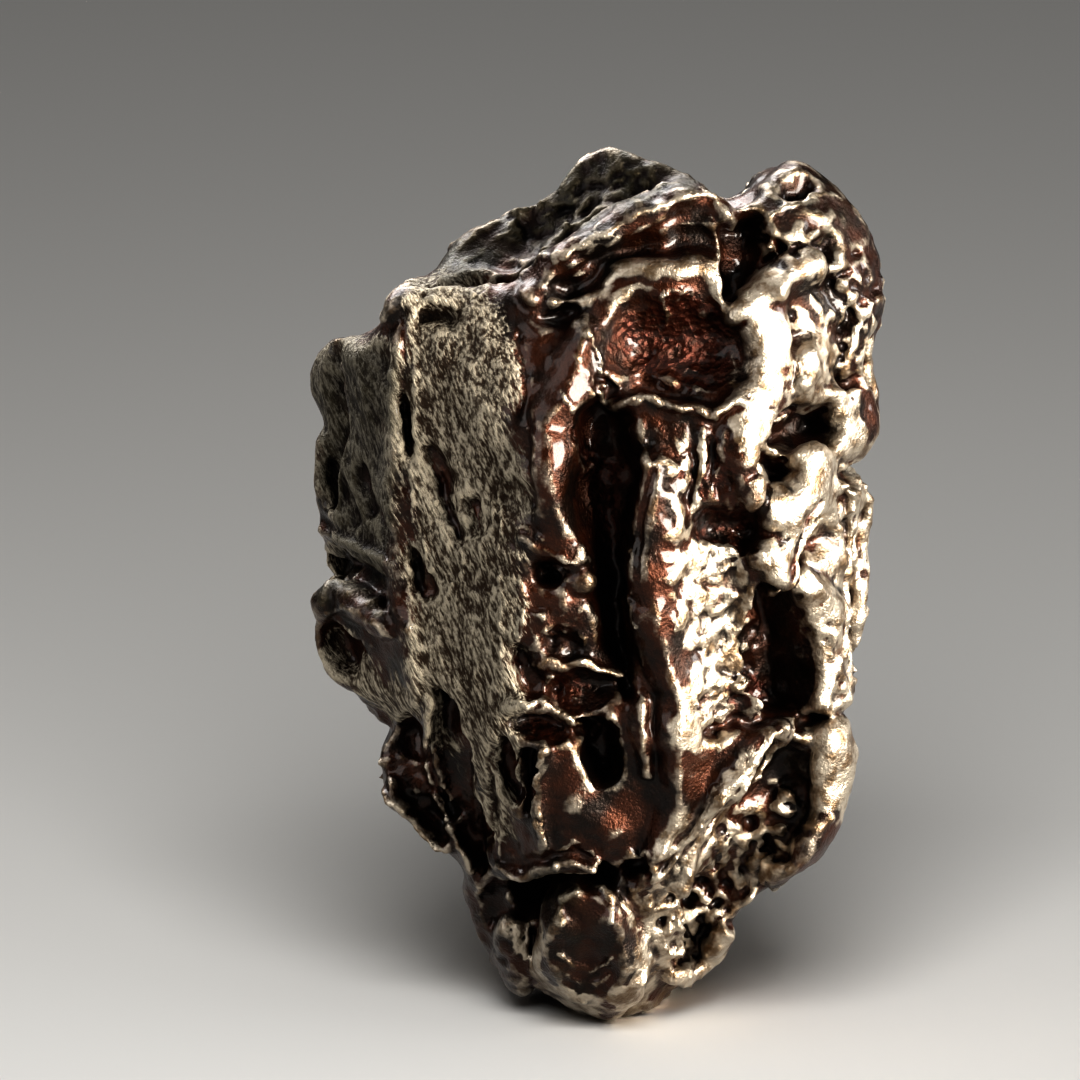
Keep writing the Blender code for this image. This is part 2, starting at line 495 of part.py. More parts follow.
def height_of(across, up, marks):
    """The height marks give each point: the highest ridge there less the deepest hollow."""
    raised, sunk = np.zeros_like(across), np.zeros_like(across)
    for height, profile, line in marks:
        share, side = reach(across, up, line)
        inside = np.flatnonzero(share < 1)
        amount = np.abs(height) * profile(share[inside], side[inside])
        into = raised if height > 0 else sunk
        into[inside] = np.maximum(into[inside], amount)
    return raised - sunk


def press(obj, marks, azimuth_deg, elevation_deg, stray, rise=0.0):
    """Presses marks into the side of the skin that an eye sees."""
    points, normals = read_skin(obj)
    right, up, eye = axes_of(azimuth_deg, elevation_deg)
    facing = normals @ eye
    seen = np.flatnonzero(facing > GRAZING[0])
    near = points[seen]
    wide, narrow = STRAY_SIZES
    across_of = near @ right + stray * (wobble(near, wide, 1) + wobble(near, narrow, 2) / 2)
    up_of = near @ up + rise + stray * (wobble(near, wide, 3) + wobble(near, narrow, 4) / 2)
    height = height_of(across_of, up_of, marks) * step_up(facing[seen], *GRAZING)
    direction = normals[seen] + PRESS_LEAN * eye
    direction /= np.linalg.norm(direction, axis=1)[:, None]
    points[seen] += direction * height[:, None]
    write_skin(obj, points)


def thumbprints(obj, seed, count, widths, depths):
    """Presses round hollows at random all over, shallower on the front, where they are placed."""
    points, normals = read_skin(obj)
    _, _, eye = axes_of(0.0, EYE_HEIGHT_DEG)
    chance = random.Random(seed)
    sunk = np.zeros(len(points))
    for _ in range(count):
        middle = points[chance.randrange(len(points))]
        width = chance.uniform(*widths)
        depth = chance.uniform(*depths)
        stretch = np.array([chance.uniform(0.7, 1.0) for _ in range(3)])
        share = np.linalg.norm((points - middle) * stretch, axis=1) / width
        sunk = np.maximum(sunk, depth * np.clip(1 - share**2, 0, 1))
    kept = 1 - (1 - FRONT_PRINTS) * step_up(normals @ eye, *FRONT_TURN)
    write_skin(obj, points - normals * (sunk * kept)[:, None])


def ripple(obj, sizes_and_heights):
    """Roughens the skin with smooth random lumps."""
    points, normals = read_skin(obj)
    height = np.zeros(len(points))
    for seed, (size, amount) in enumerate(sizes_and_heights):
        height += amount * wobble(points, size, 20 + seed)
    write_skin(obj, points + normals * height[:, None])


def pull_edge(obj, outward, along, line, band, rounds):
    """Moves the skin near the seen edge so that the edge follows a measured line of (along, out)."""
    points, _ = read_skin(obj)
    out, place = points @ outward, points @ along
    places = np.array([p for p, _ in line])
    wanted = np.array([o for _, o in line])
    edge = np.array([out[np.abs(place - p) < EDGE_REACH].max() for p in places])
    gap = np.interp(place, places, wanted - edge)
    close = step_up(out - np.interp(place, places, edge), -band, -EDGE_CREST)
    beyond = np.maximum(places[0] - place, place - places[-1])
    close *= 1 - step_up(beyond, 0.0, EDGE_FADE)
    move = even_out(obj, (gap * close)[:, None], rounds)
    write_skin(obj, points + outward * move)


def fit_outline(obj, band, rounds):
    """Brings the outline seen from the front to the measured edges."""
    right, up, _ = axes_of(0.0, EYE_HEIGHT_DEG)
    upper = [(across, height - EYE_RISE) for across, height in UPPER_EDGE]
    pull_edge(obj, up, right, upper, band, rounds)
    pull_edge(obj, right, up, [(height - EYE_RISE, across) for height, across in RIGHT_EDGE], band, rounds)
    pull_edge(obj, -right, up, [(height - EYE_RISE, -across) for height, across in LEFT_EDGE], band, rounds)
    pull_edge(obj, -up, right, [(across, EYE_RISE - height) for across, height in LOWER_EDGE], band, rounds)


def cut_foot(obj):
    """Cuts the toe flat where it stands."""
    bm = bmesh.new()
    bm.from_mesh(obj.data)
    geometry = bm.verts[:] + bm.edges[:] + bm.faces[:]
    cut = bmesh.ops.bisect_plane(bm, geom=geometry, plane_co=(0, 0, 0), plane_no=(0, 0, 1), clear_inner=True)
    rim = [part for part in cut["geom_cut"] if isinstance(part, bmesh.types.BMEdge)]
    bmesh.ops.contextual_create(bm, geom=rim)
    bm.to_mesh(obj.data)
    bm.free()


def thin_out(obj, triangles):
    """Brings the skin down to a number of triangles, keeping most where it bends."""
    count = sum(len(polygon.vertices) - 2 for polygon in obj.data.polygons)
    thinning = obj.modifiers.new("Thinning", "DECIMATE")
    thinning.ratio = triangles / count
    thinning.use_collapse_triangulate = True
    settle(obj)


def bare_iron():
    """Brushed nickel-iron, brown with oxide."""
    material = bpy.data.materials.new("weathered iron")
    material.use_nodes = True
    shader = material.node_tree.nodes["Principled BSDF"]
    shader.inputs["Base Color"].default_value = IRON_COLOUR
    shader.inputs["Metallic"].default_value = IRON_METALLIC
    shader.inputs["Roughness"].default_value = IRON_ROUGHNESS
    return material


def shape(obj, step):
    """All the shaping of the skin, broad forms first."""
    even_skin(obj, step)
    thumbprints(obj, *BROAD_PRINTS)
    press(obj, BACK_MARKS, 180.0, 0.0, STRAY_BACK)
    press(obj, LEFT_MARKS, -90.0, 0.0, STRAY_FLANKS)
    press(obj, RIGHT_MARKS, 90.0, 0.0, STRAY_FLANKS)
    press(obj, TOP_MARKS, 0.0, 90.0, STRAY_TOP)
    fit_outline(obj, *WIDE_BAND)
    press(obj, FRONT_HOLLOWS, 0.0, EYE_HEIGHT_DEG, STRAY_HOLLOWS, EYE_RISE)
    even_skin(obj, step)
    press(obj, FRONT_RIDGES, 0.0, EYE_HEIGHT_DEG, STRAY_RIDGES, EYE_RISE)
    press(obj, KNOB_MARKS, 0.0, EYE_HEIGHT_DEG, STRAY_RIDGES, EYE_RISE)
    thumbprints(obj, *SMALL_PRINTS)
    ripple(obj, RIPPLES)
    fit_outline(obj, *NARROW_BAND)
    press(obj, FOOT_MARKS, 0.0, -90.0, 0.0)
    even_skin(obj, step)


def main(step=SKIN_STEP, triangles=TRIANGLES):
    clear_scene()
    obj = build_cage()
    round_off(obj)
    shape(obj, step)
    if triangles:
        thin_out(obj, triangles)
    cut_foot(obj)
    obj.data.materials.append(bare_iron())
    return obj


if __name__ == "__main__":
    main()
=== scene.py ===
"""An iron meteorite on a pale floor: a lump of nickel-iron, brushed bare on its high spots and brown with
glossy oxide in its hollows.

Sizes and places on the lump are written in millimetres for a lump 87 mm tall, and follow the height of
the frame. The front faces -Y and +Z is up.
"""

import math
import random

import bmesh
import bpy
import numpy as np
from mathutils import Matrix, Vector, bvhtree, kdtree, noise


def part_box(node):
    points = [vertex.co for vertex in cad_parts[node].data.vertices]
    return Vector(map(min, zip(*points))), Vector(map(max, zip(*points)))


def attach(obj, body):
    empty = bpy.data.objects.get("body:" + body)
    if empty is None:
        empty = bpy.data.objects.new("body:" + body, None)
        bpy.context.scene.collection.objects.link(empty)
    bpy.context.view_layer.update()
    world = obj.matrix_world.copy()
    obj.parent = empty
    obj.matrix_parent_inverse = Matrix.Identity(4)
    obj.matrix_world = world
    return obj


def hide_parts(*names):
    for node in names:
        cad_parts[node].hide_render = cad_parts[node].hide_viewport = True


bl_info = {
    "name": "Iron meteorite",
    "version": (1, 0, 0),
    "blender": (4, 5, 0),
    "location": "View3D > Sidebar > Meteorite",
    "description": "Builds a weathered iron meteorite and a plain studio round it",
    "category": "Add Mesh",
}

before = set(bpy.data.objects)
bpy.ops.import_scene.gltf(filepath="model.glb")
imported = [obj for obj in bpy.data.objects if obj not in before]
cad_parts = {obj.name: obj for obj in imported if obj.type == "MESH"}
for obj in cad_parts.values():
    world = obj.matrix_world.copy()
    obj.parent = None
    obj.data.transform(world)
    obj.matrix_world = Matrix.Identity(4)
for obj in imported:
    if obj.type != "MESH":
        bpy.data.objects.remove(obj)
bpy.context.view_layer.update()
NODE_LOW, NODE_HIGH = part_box("meteorite")
DRAWN_HEIGHT = 87.29  # the height of the lump that the numbers below were measured on, in mm
MM = (NODE_HIGH.z - NODE_LOW.z) / DRAWN_HEIGHT

# The front was measured by an eye this far above the horizon, with heights from the lowest point seen.
EYE_HEIGHT_DEG = 14.0
EYE_RISE = 1.3
PICTURE_SIDE = 108.0  # what the camera's picture spans, in mm
PICTURE_MIDDLE = (-5.5, 47.8)  # across and up of the picture's middle, in mm

# The cage, level by level: height, left, right, front and back, in mm.
LEVELS = (
    (-3.0, -4.5, 7.5, -5.5, 6.5),
    (1.5, -9.0, 10.5, -8.5, 9.5),
    (6.0, -11.8, 14.5, -10.5, 10.5),
    (12.0, -14.0, 19.5, -12.5, 12.5),
    (17.0, -18.5, 24.3, -15.5, 14.0),
    (23.0, -21.5, 25.8, -18.0, 16.0),
    (31.0, -25.0, 26.2, -19.8, 18.0),
    (40.0, -28.0, 27.2, -20.6, 19.3),
    (52.0, -27.8, 27.6, -21.0, 20.2),
    (62.0, -28.3, 28.3, -20.6, 20.4),
)

# The plan of every level, from -1 to 1 across and front to back: left, round the front, right, back.
PLAN = (
    (-1.00, 0.10),
    (-0.70, -0.52),
    (-0.25, -0.98),
    (0.15, -1.00),
    (0.55, -0.90),
    (0.85, -0.45),
    (1.00, 0.10),
    (0.84, 0.65),
    (0.42, 0.95),
    (-0.07, 1.00),
    (-0.50, 0.85),
    (-0.86, 0.55),
)
CORNERS = {1: 0.75, 2: 0.45, 4: 0.35, 5: 0.35, 8: 0.5, 11: 0.45}  # how sharp some of its corners stay
CAGE_SWELL = 1.045  # the smoothing draws a ring of twelve points in by this much

# The rim round the hollow top, one point for each point of the plan.
RIM = (
    (-26.5, 2.0, 69.5),
    (-20.0, -8.5, 78.5),
    (-9.0, -12.5, 78.5),
    (2.0, -12.5, 87.0),
    (11.5, -11.0, 89.5),
    (20.0, -8.0, 86.0),
    (26.0, 2.0, 84.0),
    (20.0, 12.0, 84.0),
    (10.5, 16.0, 82.0),
    (0.0, 16.5, 88.0),
    (-11.0, 15.5, 78.5),
    (-21.0, 11.0, 71.0),
)

# The floor of the hollow top, half way in from the rim.
BASIN = (
    (-17.0, 2.0, 70.0),
    (-13.5, -3.5, 73.0),
    (-7.0, -5.5, 72.0),
    (0.5, -5.5, 74.5),
    (8.0, -4.0, 78.5),
    (15.0, -3.0, 86.0),
    (19.0, 2.5, 88.5),
    (15.0, 7.0, 85.0),
    (7.0, 9.5, 77.5),
    (-1.0, 10.5, 76.0),
    (-8.0, 10.0, 71.5),
    (-14.0, 7.0, 69.0),
)
BASIN_MIDDLE = (-1.0, 2.5, 71.5)

# The outline seen from the front: left and right edge as (up, across), upper and lower edge as
# (across, up).
LEFT_EDGE = (
    (4.3, -10.2), (8.8, -12.2), (12.8, -13.5), (14.8, -13.6), (15.7, -14.6), (17.8, -17.5),
    (20.6, -20.0), (22.5, -21.6), (24.8, -21.7), (27.3, -21.5), (29.3, -21.8), (31.2, -23.0),
    (32.5, -25.5), (34.3, -27.0), (36.3, -27.9), (40.8, -28.5), (42.6, -28.2), (45.3, -27.1),
    (47.3, -27.0), (50.8, -27.8), (52.8, -28.2), (57.8, -27.8), (60.8, -27.8), (64.3, -28.5),
    (66.0, -28.2), (67.3, -27.3),
)
RIGHT_EDGE = (
    (4.0, 11.3), (7.3, 13.8), (9.3, 14.2), (10.6, 15.2), (13.3, 19.0), (15.0, 21.7),
    (17.8, 24.0), (22.8, 25.6), (28.3, 26.0), (30.0, 25.5), (32.8, 26.2), (36.8, 26.5), (42.8, 27.3),
    (49.8, 27.8), (53.3, 27.5), (55.4, 26.4), (57.8, 28.4), (61.8, 28.3), (66.8, 27.7), (69.8, 28.7),
    (74.8, 28.5), (79.0, 27.5), (82.0, 25.5),
)
UPPER_EDGE = (
    (-26.0, 68.2), (-24.5, 68.6), (-21.2, 70.8), (-19.8, 73.8), (-18.0, 74.5), (-16.3, 74.6),
    (-14.5, 77.8), (-12.5, 79.3), (-9.5, 81.0), (-5.5, 82.3), (-3.0, 84.3), (-1.3, 86.5), (1.5, 87.1),
    (6.0, 85.8), (10.5, 83.8), (14.5, 83.4), (17.5, 85.0), (20.5, 85.6), (22.7, 84.3),
)
LOWER_EDGE = (
    (-9.6, 3.8), (-8.6, 2.6), (-6.8, 1.8), (-5.4, 2.5), (-4.0, 1.8), (-2.2, 0.8), (0.4, 0.1), (3.0, 0.0),
    (5.2, 0.6), (6.8, 2.2), (8.0, 2.1), (10.0, 3.0), (12.2, 4.6),
)


# Profiles of a mark: how much of its height is left at a share of its half width from its line. The
# side is above 0 on the left of the line.
def arch(share, side):
    return 1 - share**2


def soft(share, side):
    return (1 - share**2) ** 2


def well(share, side):
    return step_up(1 - share, 0.0, 0.45)


def crest(share, side):
    return (1 - share) ** 1.3


def dome(share, side):
    return np.sqrt(1 - share**2)


def roof(share, side):
    return np.where(side > 0, 1 - share, 1 - share**2)


def broad(share, side):
    return step_up(1 - share, 0.0, 0.5)


def ledge(share, side):
    return np.where(side > 0, (1 - share) ** 1.3, step_up(1 - share, 0.65, 1.0))


# Each mark is a height in mm (below 0 is a hollow), a profile, and a line of points as the eye sees
# them: across, up and half width.
FRONT_HOLLOWS = (
    # bowl under the rim, and the slope right of the middle ridge
    (-4.2, arch, ((6.4, 67.2, 5.6), (10.8, 66.9, 5.6))),
    (-2.2, soft, ((12.5, 47.0, 3.6), (14.0, 38.0, 4.6), (13.5, 31.0, 4.2))),
    # long gully between the two upright ridges
    (-4.8, soft, ((1.0, 60.5, 3.4), (1.0, 55.0, 5.0), (1.4, 48.0, 5.2), (2.2, 42.0, 3.8),
                  (2.9, 37.0, 2.6), (3.3, 32.5, 1.8))),
    # deep pit on the right
    (-6.5, well, ((18.0, 41.8, 2.6), (18.7, 36.8, 3.7), (19.5, 31.8, 2.5))),
    # angular pit, and the olive pit under it
    (-5.5, well, ((19.3, 58.8, 2.2), (22.3, 59.0, 2.6))),
    (-4.0, arch, ((16.5, 54.8, 2.4), (18.3, 54.2, 2.4))),
    # hollow left of the slanting band
    (-4.0, arch, ((12.0, 48.8, 2.6), (15.3, 48.2, 3.3))),
    # cavity under the front plate
    (-8.0, well, ((-6.5, 12.4, 2.6), (-3.5, 12.2, 3.5), (0.4, 13.6, 2.2))),
    # hooked cavity
    (-5.0, well, ((-1.6, 29.2, 1.1), (0.4, 28.2, 1.9), (0.9, 25.0, 1.5))),
    # recess beside the lower right lobe
    (-5.2, arch, ((11.0, 10.6, 3.2), (14.5, 14.6, 4.4), (17.0, 20.0, 4.8), (18.6, 25.4, 3.4))),
    # gully beside the upper right lobe, and the cleft that leads out of it
    (-4.8, well, ((14.6, 79.0, 1.9), (15.0, 75.8, 2.5), (14.3, 73.0, 2.1))),
    (-2.6, arch, ((15.5, 75.0, 1.6), (17.8, 75.7, 1.5), (19.6, 76.5, 1.0))),
    # under the shelf at the left, the hollow of the ear, and the cup below
    (-1.7, arch, ((-26.8, 45.2, 1.3), (-24.5, 44.6, 1.4), (-22.0, 43.2, 1.3), (-20.5, 41.4, 0.9))),
    (-2.6, arch, ((-26.0, 38.8, 1.5), (-25.2, 36.9, 1.9), (-24.5, 35.2, 1.4))),
    (-3.6, arch, ((-19.2, 28.6, 1.6), (-18.6, 25.0, 2.2), (-17.4, 22.0, 2.3), (-15.6, 19.6, 1.7))),
    # spindle, and the two slots beside it
    (-3.2, well, ((-15.5, 32.3, 0.7), (-15.2, 29.8, 1.6), (-14.9, 25.8, 2.4), (-14.0, 21.8, 2.2),
                  (-12.7, 17.8, 1.7), (-11.5, 15.0, 0.9))),
    (-2.2, well, ((-9.0, 27.0, 0.9), (-8.8, 24.3, 1.0), (-8.6, 22.0, 0.8))),
    (-3.6, well, ((-6.6, 26.3, 0.9), (-6.6, 23.3, 1.1), (-6.8, 20.8, 0.8))),
    # pockets of the middle front, from the lowest up
    (-3.2, arch, ((-7.0, 29.6, 1.9), (-4.4, 29.6, 2.1))),
    (-2.8, arch, ((-3.0, 32.8, 1.9), (-1.0, 32.8, 2.7), (0.7, 33.3, 2.0))),
    (-2.0, arch, ((-7.3, 36.3, 1.4), (-6.5, 33.8, 1.8))),
    (-1.8, arch, ((-4.3, 37.6, 1.3), (-2.8, 37.0, 1.3))),
    (-2.8, well, ((-5.0, 44.8, 1.4), (-3.5, 44.6, 1.8), (-2.2, 45.0, 1.2))),
    (-1.8, arch, ((-5.0, 70.0, 1.3), (-3.2, 69.8, 1.6))),
    # scars of the left face
    (-1.0, arch, ((-12.4, 51.2, 1.1), (-11.8, 49.8, 1.4), (-12.3, 48.6, 1.1))),
    (-1.3, arch, ((-16.7, 56.3, 0.9), (-15.5, 53.8, 1.5), (-14.8, 50.8, 1.5), (-13.8, 47.8, 0.9))),
    (-1.0, arch, ((-17.7, 46.6, 0.9), (-17.1, 44.3, 1.3), (-16.3, 42.6, 1.0))),
    (-1.6, arch, ((-19.0, 62.4, 0.6), (-18.8, 59.6, 1.1), (-18.6, 56.6, 0.9))),
    (-1.4, arch, ((-17.2, 70.2, 1.5), (-14.8, 69.6, 1.6))),
    # groove under the rim, and the pits of the upper right lobe
    (-2.0, arch, ((-3.0, 72.6, 1.4), (1.0, 75.2, 1.8), (5.0, 76.6, 1.6), (8.5, 76.8, 1.6),
                  (12.0, 77.0, 1.3))),
    (-2.6, arch, ((22.6, 77.2, 1.5), (22.9, 76.4, 1.2))),
    (-2.2, arch, ((19.5, 82.6, 1.3), (21.0, 83.0, 1.2))),
    # pits down the right-hand column, and the cracks between its lumps
    (-2.2, arch, ((23.1, 73.3, 1.5), (24.4, 71.6, 1.4), (25.0, 69.8, 1.6), (24.3, 68.2, 1.3))),
    (-1.8, arch, ((24.0, 64.3, 1.4), (25.3, 62.6, 1.1))),
    (-2.0, arch, ((19.6, 68.6, 1.2), (19.0, 66.6, 0.8))),
    (-1.6, arch, ((21.7, 68.4, 1.8),)),
    (-2.4, well, ((22.3, 50.3, 0.9), (21.0, 48.3, 1.1), (20.0, 45.8, 1.1), (19.6, 44.4, 0.7))),
    (-1.6, arch, ((22.4, 48.0, 2.1),)),
    (-1.6, arch, ((25.2, 51.8, 0.9), (25.5, 44.0, 1.1), (25.5, 36.0, 1.1))),
    (-2.4, well, ((25.0, 30.6, 1.2), (21.5, 29.7, 1.3), (18.5, 30.0, 1.3), (14.5, 29.0, 1.0),
                  (10.5, 28.3, 0.7))),
    # pits of the toe
    (-3.0, well, ((11.9, 9.0, 1.4), (10.8, 7.2, 2.0), (9.4, 5.4, 1.4))),
    (-2.0, arch, ((-9.6, 12.0, 1.8), (-9.2, 9.4, 1.6))),
    (-2.4, well, ((4.3, 14.7, 2.0),)),
    (-1.8, arch, ((12.7, 15.3, 1.1), (15.0, 12.6, 1.2), (17.0, 13.6, 1.2))),
)
FRONT_RIDGES = (
    # left and middle upright ridges
    (2.0, roof, ((-1.2, 68.3, 1.9), (-2.0, 64.8, 2.8), (-3.0, 61.8, 2.8), (-4.6, 58.8, 2.8),
                 (-4.5, 54.8, 2.9), (-3.6, 50.8, 2.9), (-2.3, 47.3, 2.7), (-1.4, 44.3, 1.8))),
    (2.6, roof, ((5.8, 55.6, 1.9), (6.2, 52.0, 3.1), (5.8, 46.0, 3.2), (6.3, 39.0, 2.9),
                 (8.2, 33.0, 2.8), (8.6, 26.0, 2.9), (8.0, 20.0, 3.0), (6.4, 17.4, 1.8))),
    (1.5, arch, ((3.2, 42.0, 1.0), (4.0, 34.0, 1.5), (4.6, 28.0, 1.6), (5.0, 24.5, 0.9))),
    # corner right of the arch, and the arm over it
    (1.8, arch, ((15.7, 71.8, 2.6), (17.5, 67.8, 3.3), (17.5, 62.8, 3.3), (14.9, 59.4, 3.0),
                 (13.8, 56.4, 2.0), (15.2, 52.5, 1.5))),
    (2.2, arch, ((14.0, 70.6, 2.0), (17.0, 72.6, 2.2), (20.5, 74.6, 2.2))),
    # lump, slanting band and the rim of the deep pit
    (2.6, soft, ((21.6, 68.2, 2.0), (20.8, 65.0, 3.0), (20.8, 62.8, 3.0))),
    (2.3, arch, ((21.6, 55.6, 2.4), (20.7, 52.8, 3.0), (18.8, 49.8, 3.3), (17.6, 46.3, 2.4),
                 (18.2, 44.0, 1.4))),
    (2.0, arch, ((20.2, 44.0, 1.6), (22.8, 40.8, 2.0), (23.6, 36.8, 2.0), (23.2, 32.2, 1.9))),
    # lower right lobe, and the long shard that leads up to it
    (3.0, arch, ((23.7, 28.0, 2.2), (24.3, 24.3, 3.0), (23.7, 20.3, 3.0), (21.4, 16.8, 2.6),
                 (18.6, 15.2, 1.8))),
    (2.0, ledge, ((5.0, 13.4, 1.8), (9.5, 18.3, 2.8), (12.0, 21.8, 2.8), (15.0, 25.3, 2.4),
                  (18.8, 29.0, 1.8))),
    # rim of the bowl, and the brow over it
    (1.4, arch, ((-6.5, 71.8, 1.4), (-3.5, 75.4, 1.6), (0.5, 77.9, 1.8), (4.5, 80.2, 1.8),
                 (8.5, 82.0, 1.8), (11.0, 82.0, 1.8), (13.0, 80.0, 1.4))),
    (1.0, soft, ((-4.7, 70.3, 1.6), (-2.5, 73.6, 1.9), (1.5, 75.0, 2.0), (6.5, 75.0, 1.8),
                 (11.0, 74.8, 1.8), (13.0, 72.3, 1.6))),
    (1.5, crest, ((0.2, 62.6, 1.2), (2.5, 61.0, 1.3), (5.0, 62.0, 1.3), (8.5, 60.8, 1.3),
                  (11.7, 60.5, 1.3), (14.5, 61.8, 1.2))),
    # knob of the toe with its tongue, the fold left of it and the lobe right of it
    (4.6, dome, ((-1.2, 12.2, 2.4), (-0.7, 9.0, 4.9), (-0.4, 6.0, 6.0))),
    (2.4, dome, ((-8.3, 9.0, 1.7), (-8.5, 6.4, 2.1), (-7.8, 4.0, 2.1))),
    (1.8, arch, ((7.9, 3.8, 1.3), (10.2, 4.0, 1.6), (12.4, 6.0, 1.7), (13.2, 8.6, 1.5))),
    (1.6, soft, ((-20.2, 71.8, 3.0), (-15.6, 72.6, 3.4))),
    # ear and shelf at the left
    (1.6, arch, ((-27.6, 41.2, 1.5), (-25.8, 42.6, 1.6), (-23.3, 41.8, 1.6), (-21.2, 40.2, 1.4),
                 (-20.2, 38.8, 1.1))),
    (1.0, ledge, ((-20.0, 45.2, 1.4), (-22.0, 46.5, 1.8), (-25.0, 47.8, 2.0), (-27.8, 49.6, 2.0))),
    (0.9, soft, ((-18.7, 74.0, 1.6), (-19.5, 66.0, 1.6), (-19.8, 55.0, 1.6), (-19.5, 46.0, 1.6),
                 (-18.5, 38.0, 1.6), (-17.5, 32.0, 1.4))),
    # lower edge of the front plate, and the borders of its slots
    (1.6, ledge, ((1.8, 15.2, 1.2), (-2.0, 16.2, 1.6), (-5.0, 15.8, 1.6), (-7.6, 15.2, 1.4),
                  (-9.8, 15.8, 1.1))),
    (1.2, crest, ((-5.4, 26.6, 1.0), (-5.8, 21.8, 1.1), (-5.2, 17.2, 1.2))),
    (1.2, crest, ((-16.4, 32.2, 1.0), (-17.0, 27.5, 1.0), (-17.0, 25.0, 1.1), (-15.5, 21.6, 1.1),
                  (-14.0, 18.2, 1.1), (-12.7, 14.8, 1.0))),
    (1.4, crest, ((-21.6, 22.6, 1.2), (-19.5, 20.4, 1.3), (-17.0, 18.4, 1.2), (-15.0, 17.0, 1.0))),
    # borders of the middle pockets
    (1.1, crest, ((-5.0, 35.6, 0.9), (-3.5, 35.2, 0.9), (-1.0, 35.8, 0.9), (2.6, 34.5, 0.8))),
    (1.2, crest, ((-8.5, 31.6, 0.9), (-4.8, 31.6, 1.0), (-3.0, 30.3, 1.0), (-0.5, 28.8, 0.9))),
    (1.1, crest, ((-7.0, 48.0, 0.8), (-4.5, 46.5, 0.9), (-1.8, 45.8, 0.9))),
    (0.7, soft, ((-1.5, 21.0, 2.6), (1.5, 18.8, 2.6))),
)
# The hollow face of the knob, pressed after the ridges.
KNOB_MARKS = ((-2.8, arch, ((-1.4, 10.2, 2.5), (-1.0, 7.0, 4.0), (-0.8, 4.8, 3.4))),)
BACK_MARKS = (
    (-3.4, arch, ((-9.0, 61.0, 6.5), (-6.0, 53.0, 7.5), (-9.0, 45.5, 5.5))),
    (-3.0, arch, ((13.0, 63.0, 5.5), (16.0, 55.0, 6.5))),
    (-4.2, soft, ((2.0, 76.0, 2.4), (5.0, 67.0, 3.6), (2.5, 57.0, 4.2), (4.5, 46.0, 3.8),
                  (8.0, 36.0, 2.4))),
    (-5.0, well, ((17.0, 39.0, 2.8), (14.5, 32.5, 3.6), (11.0, 26.5, 2.6))),
    (-3.0, arch, ((-15.0, 34.0, 4.6), (-11.0, 27.0, 5.2))),
    (-4.0, well, ((-18.5, 67.0, 2.6), (-20.5, 61.5, 3.0))),
    (-3.2, well, ((-2.5, 31.0, 2.0), (0.5, 26.0, 2.6))),
    (-3.0, well, ((6.0, 15.0, 2.6), (2.5, 10.5, 2.2))),
    (-2.4, arch, ((-8.0, 14.0, 3.0), (-5.0, 8.5, 3.0))),
    (-2.2, arch, ((-1.0, 72.0, 3.0), (-7.0, 74.5, 3.2))),
    (1.8, crest, ((-1.5, 68.0, 2.2), (-1.0, 58.0, 2.4), (-1.5, 46.0, 2.2), (0.5, 36.0, 1.8))),
    (1.6, crest, ((8.0, 47.5, 2.0), (13.0, 45.0, 2.2), (20.0, 46.5, 1.8))),
    (1.8, crest, ((-19.0, 48.0, 2.0), (-12.0, 39.0, 2.4), (-4.0, 35.5, 2.0))),
    (1.6, ledge, ((6.0, 22.0, 2.2), (0.0, 19.5, 2.6), (-6.0, 20.5, 2.2))),
)
LEFT_MARKS = (
    (-2.8, arch, ((-9.0, 60.0, 4.6), (-7.0, 51.5, 5.2))),
    (-2.6, soft, ((2.0, 68.0, 1.8), (1.0, 60.0, 2.2), (0.0, 53.0, 2.0))),
    (-4.0, well, ((-10.5, 39.0, 2.4), (-8.0, 33.0, 3.2))),
    (-2.6, arch, ((-3.5, 25.0, 3.4), (-1.5, 18.5, 3.0))),
    (-2.2, arch, ((1.0, 45.0, 2.2), (-3.0, 44.0, 2.4))),
    (2.4, soft, ((1.0, 39.5, 4.5), (0.0, 35.5, 4.0))),
    (1.4, crest, ((-3.0, 57.0, 1.8), (-3.0, 48.0, 1.8), (-6.0, 44.5, 1.4))),
    (1.2, crest, ((-12.0, 28.0, 1.6), (-6.0, 29.5, 1.8), (0.0, 30.0, 1.4))),
)
RIGHT_MARKS = (
    (-2.8, arch, ((7.0, 63.0, 4.6), (9.0, 55.0, 5.2))),
    (-3.2, well, ((2.5, 74.0, 2.0), (6.0, 71.5, 2.4))),
    (-2.2, soft, ((-2.0, 68.0, 1.6), (-1.0, 62.0, 1.9), (-2.0, 58.0, 1.5))),
    (-2.4, well, ((-9.0, 56.4, 1.0), (-3.0, 55.6, 1.3), (4.0, 56.4, 1.4), (9.0, 48.0, 1.2))),
    (-4.4, well, ((9.5, 41.0, 2.6), (7.5, 34.5, 3.4))),
    (-2.0, arch, ((-2.0, 48.0, 2.4), (-1.0, 41.0, 2.8), (-2.0, 34.5, 2.2))),
    (-2.6, arch, ((2.0, 26.0, 3.0), (4.0, 20.0, 3.0))),
    (1.4, crest, ((2.5, 52.0, 1.6), (3.0, 42.0, 1.8), (1.0, 33.0, 1.5))),
    (1.4, crest, ((12.0, 47.0, 1.8), (6.0, 48.5, 1.6), (3.0, 52.0, 1.4))),
)
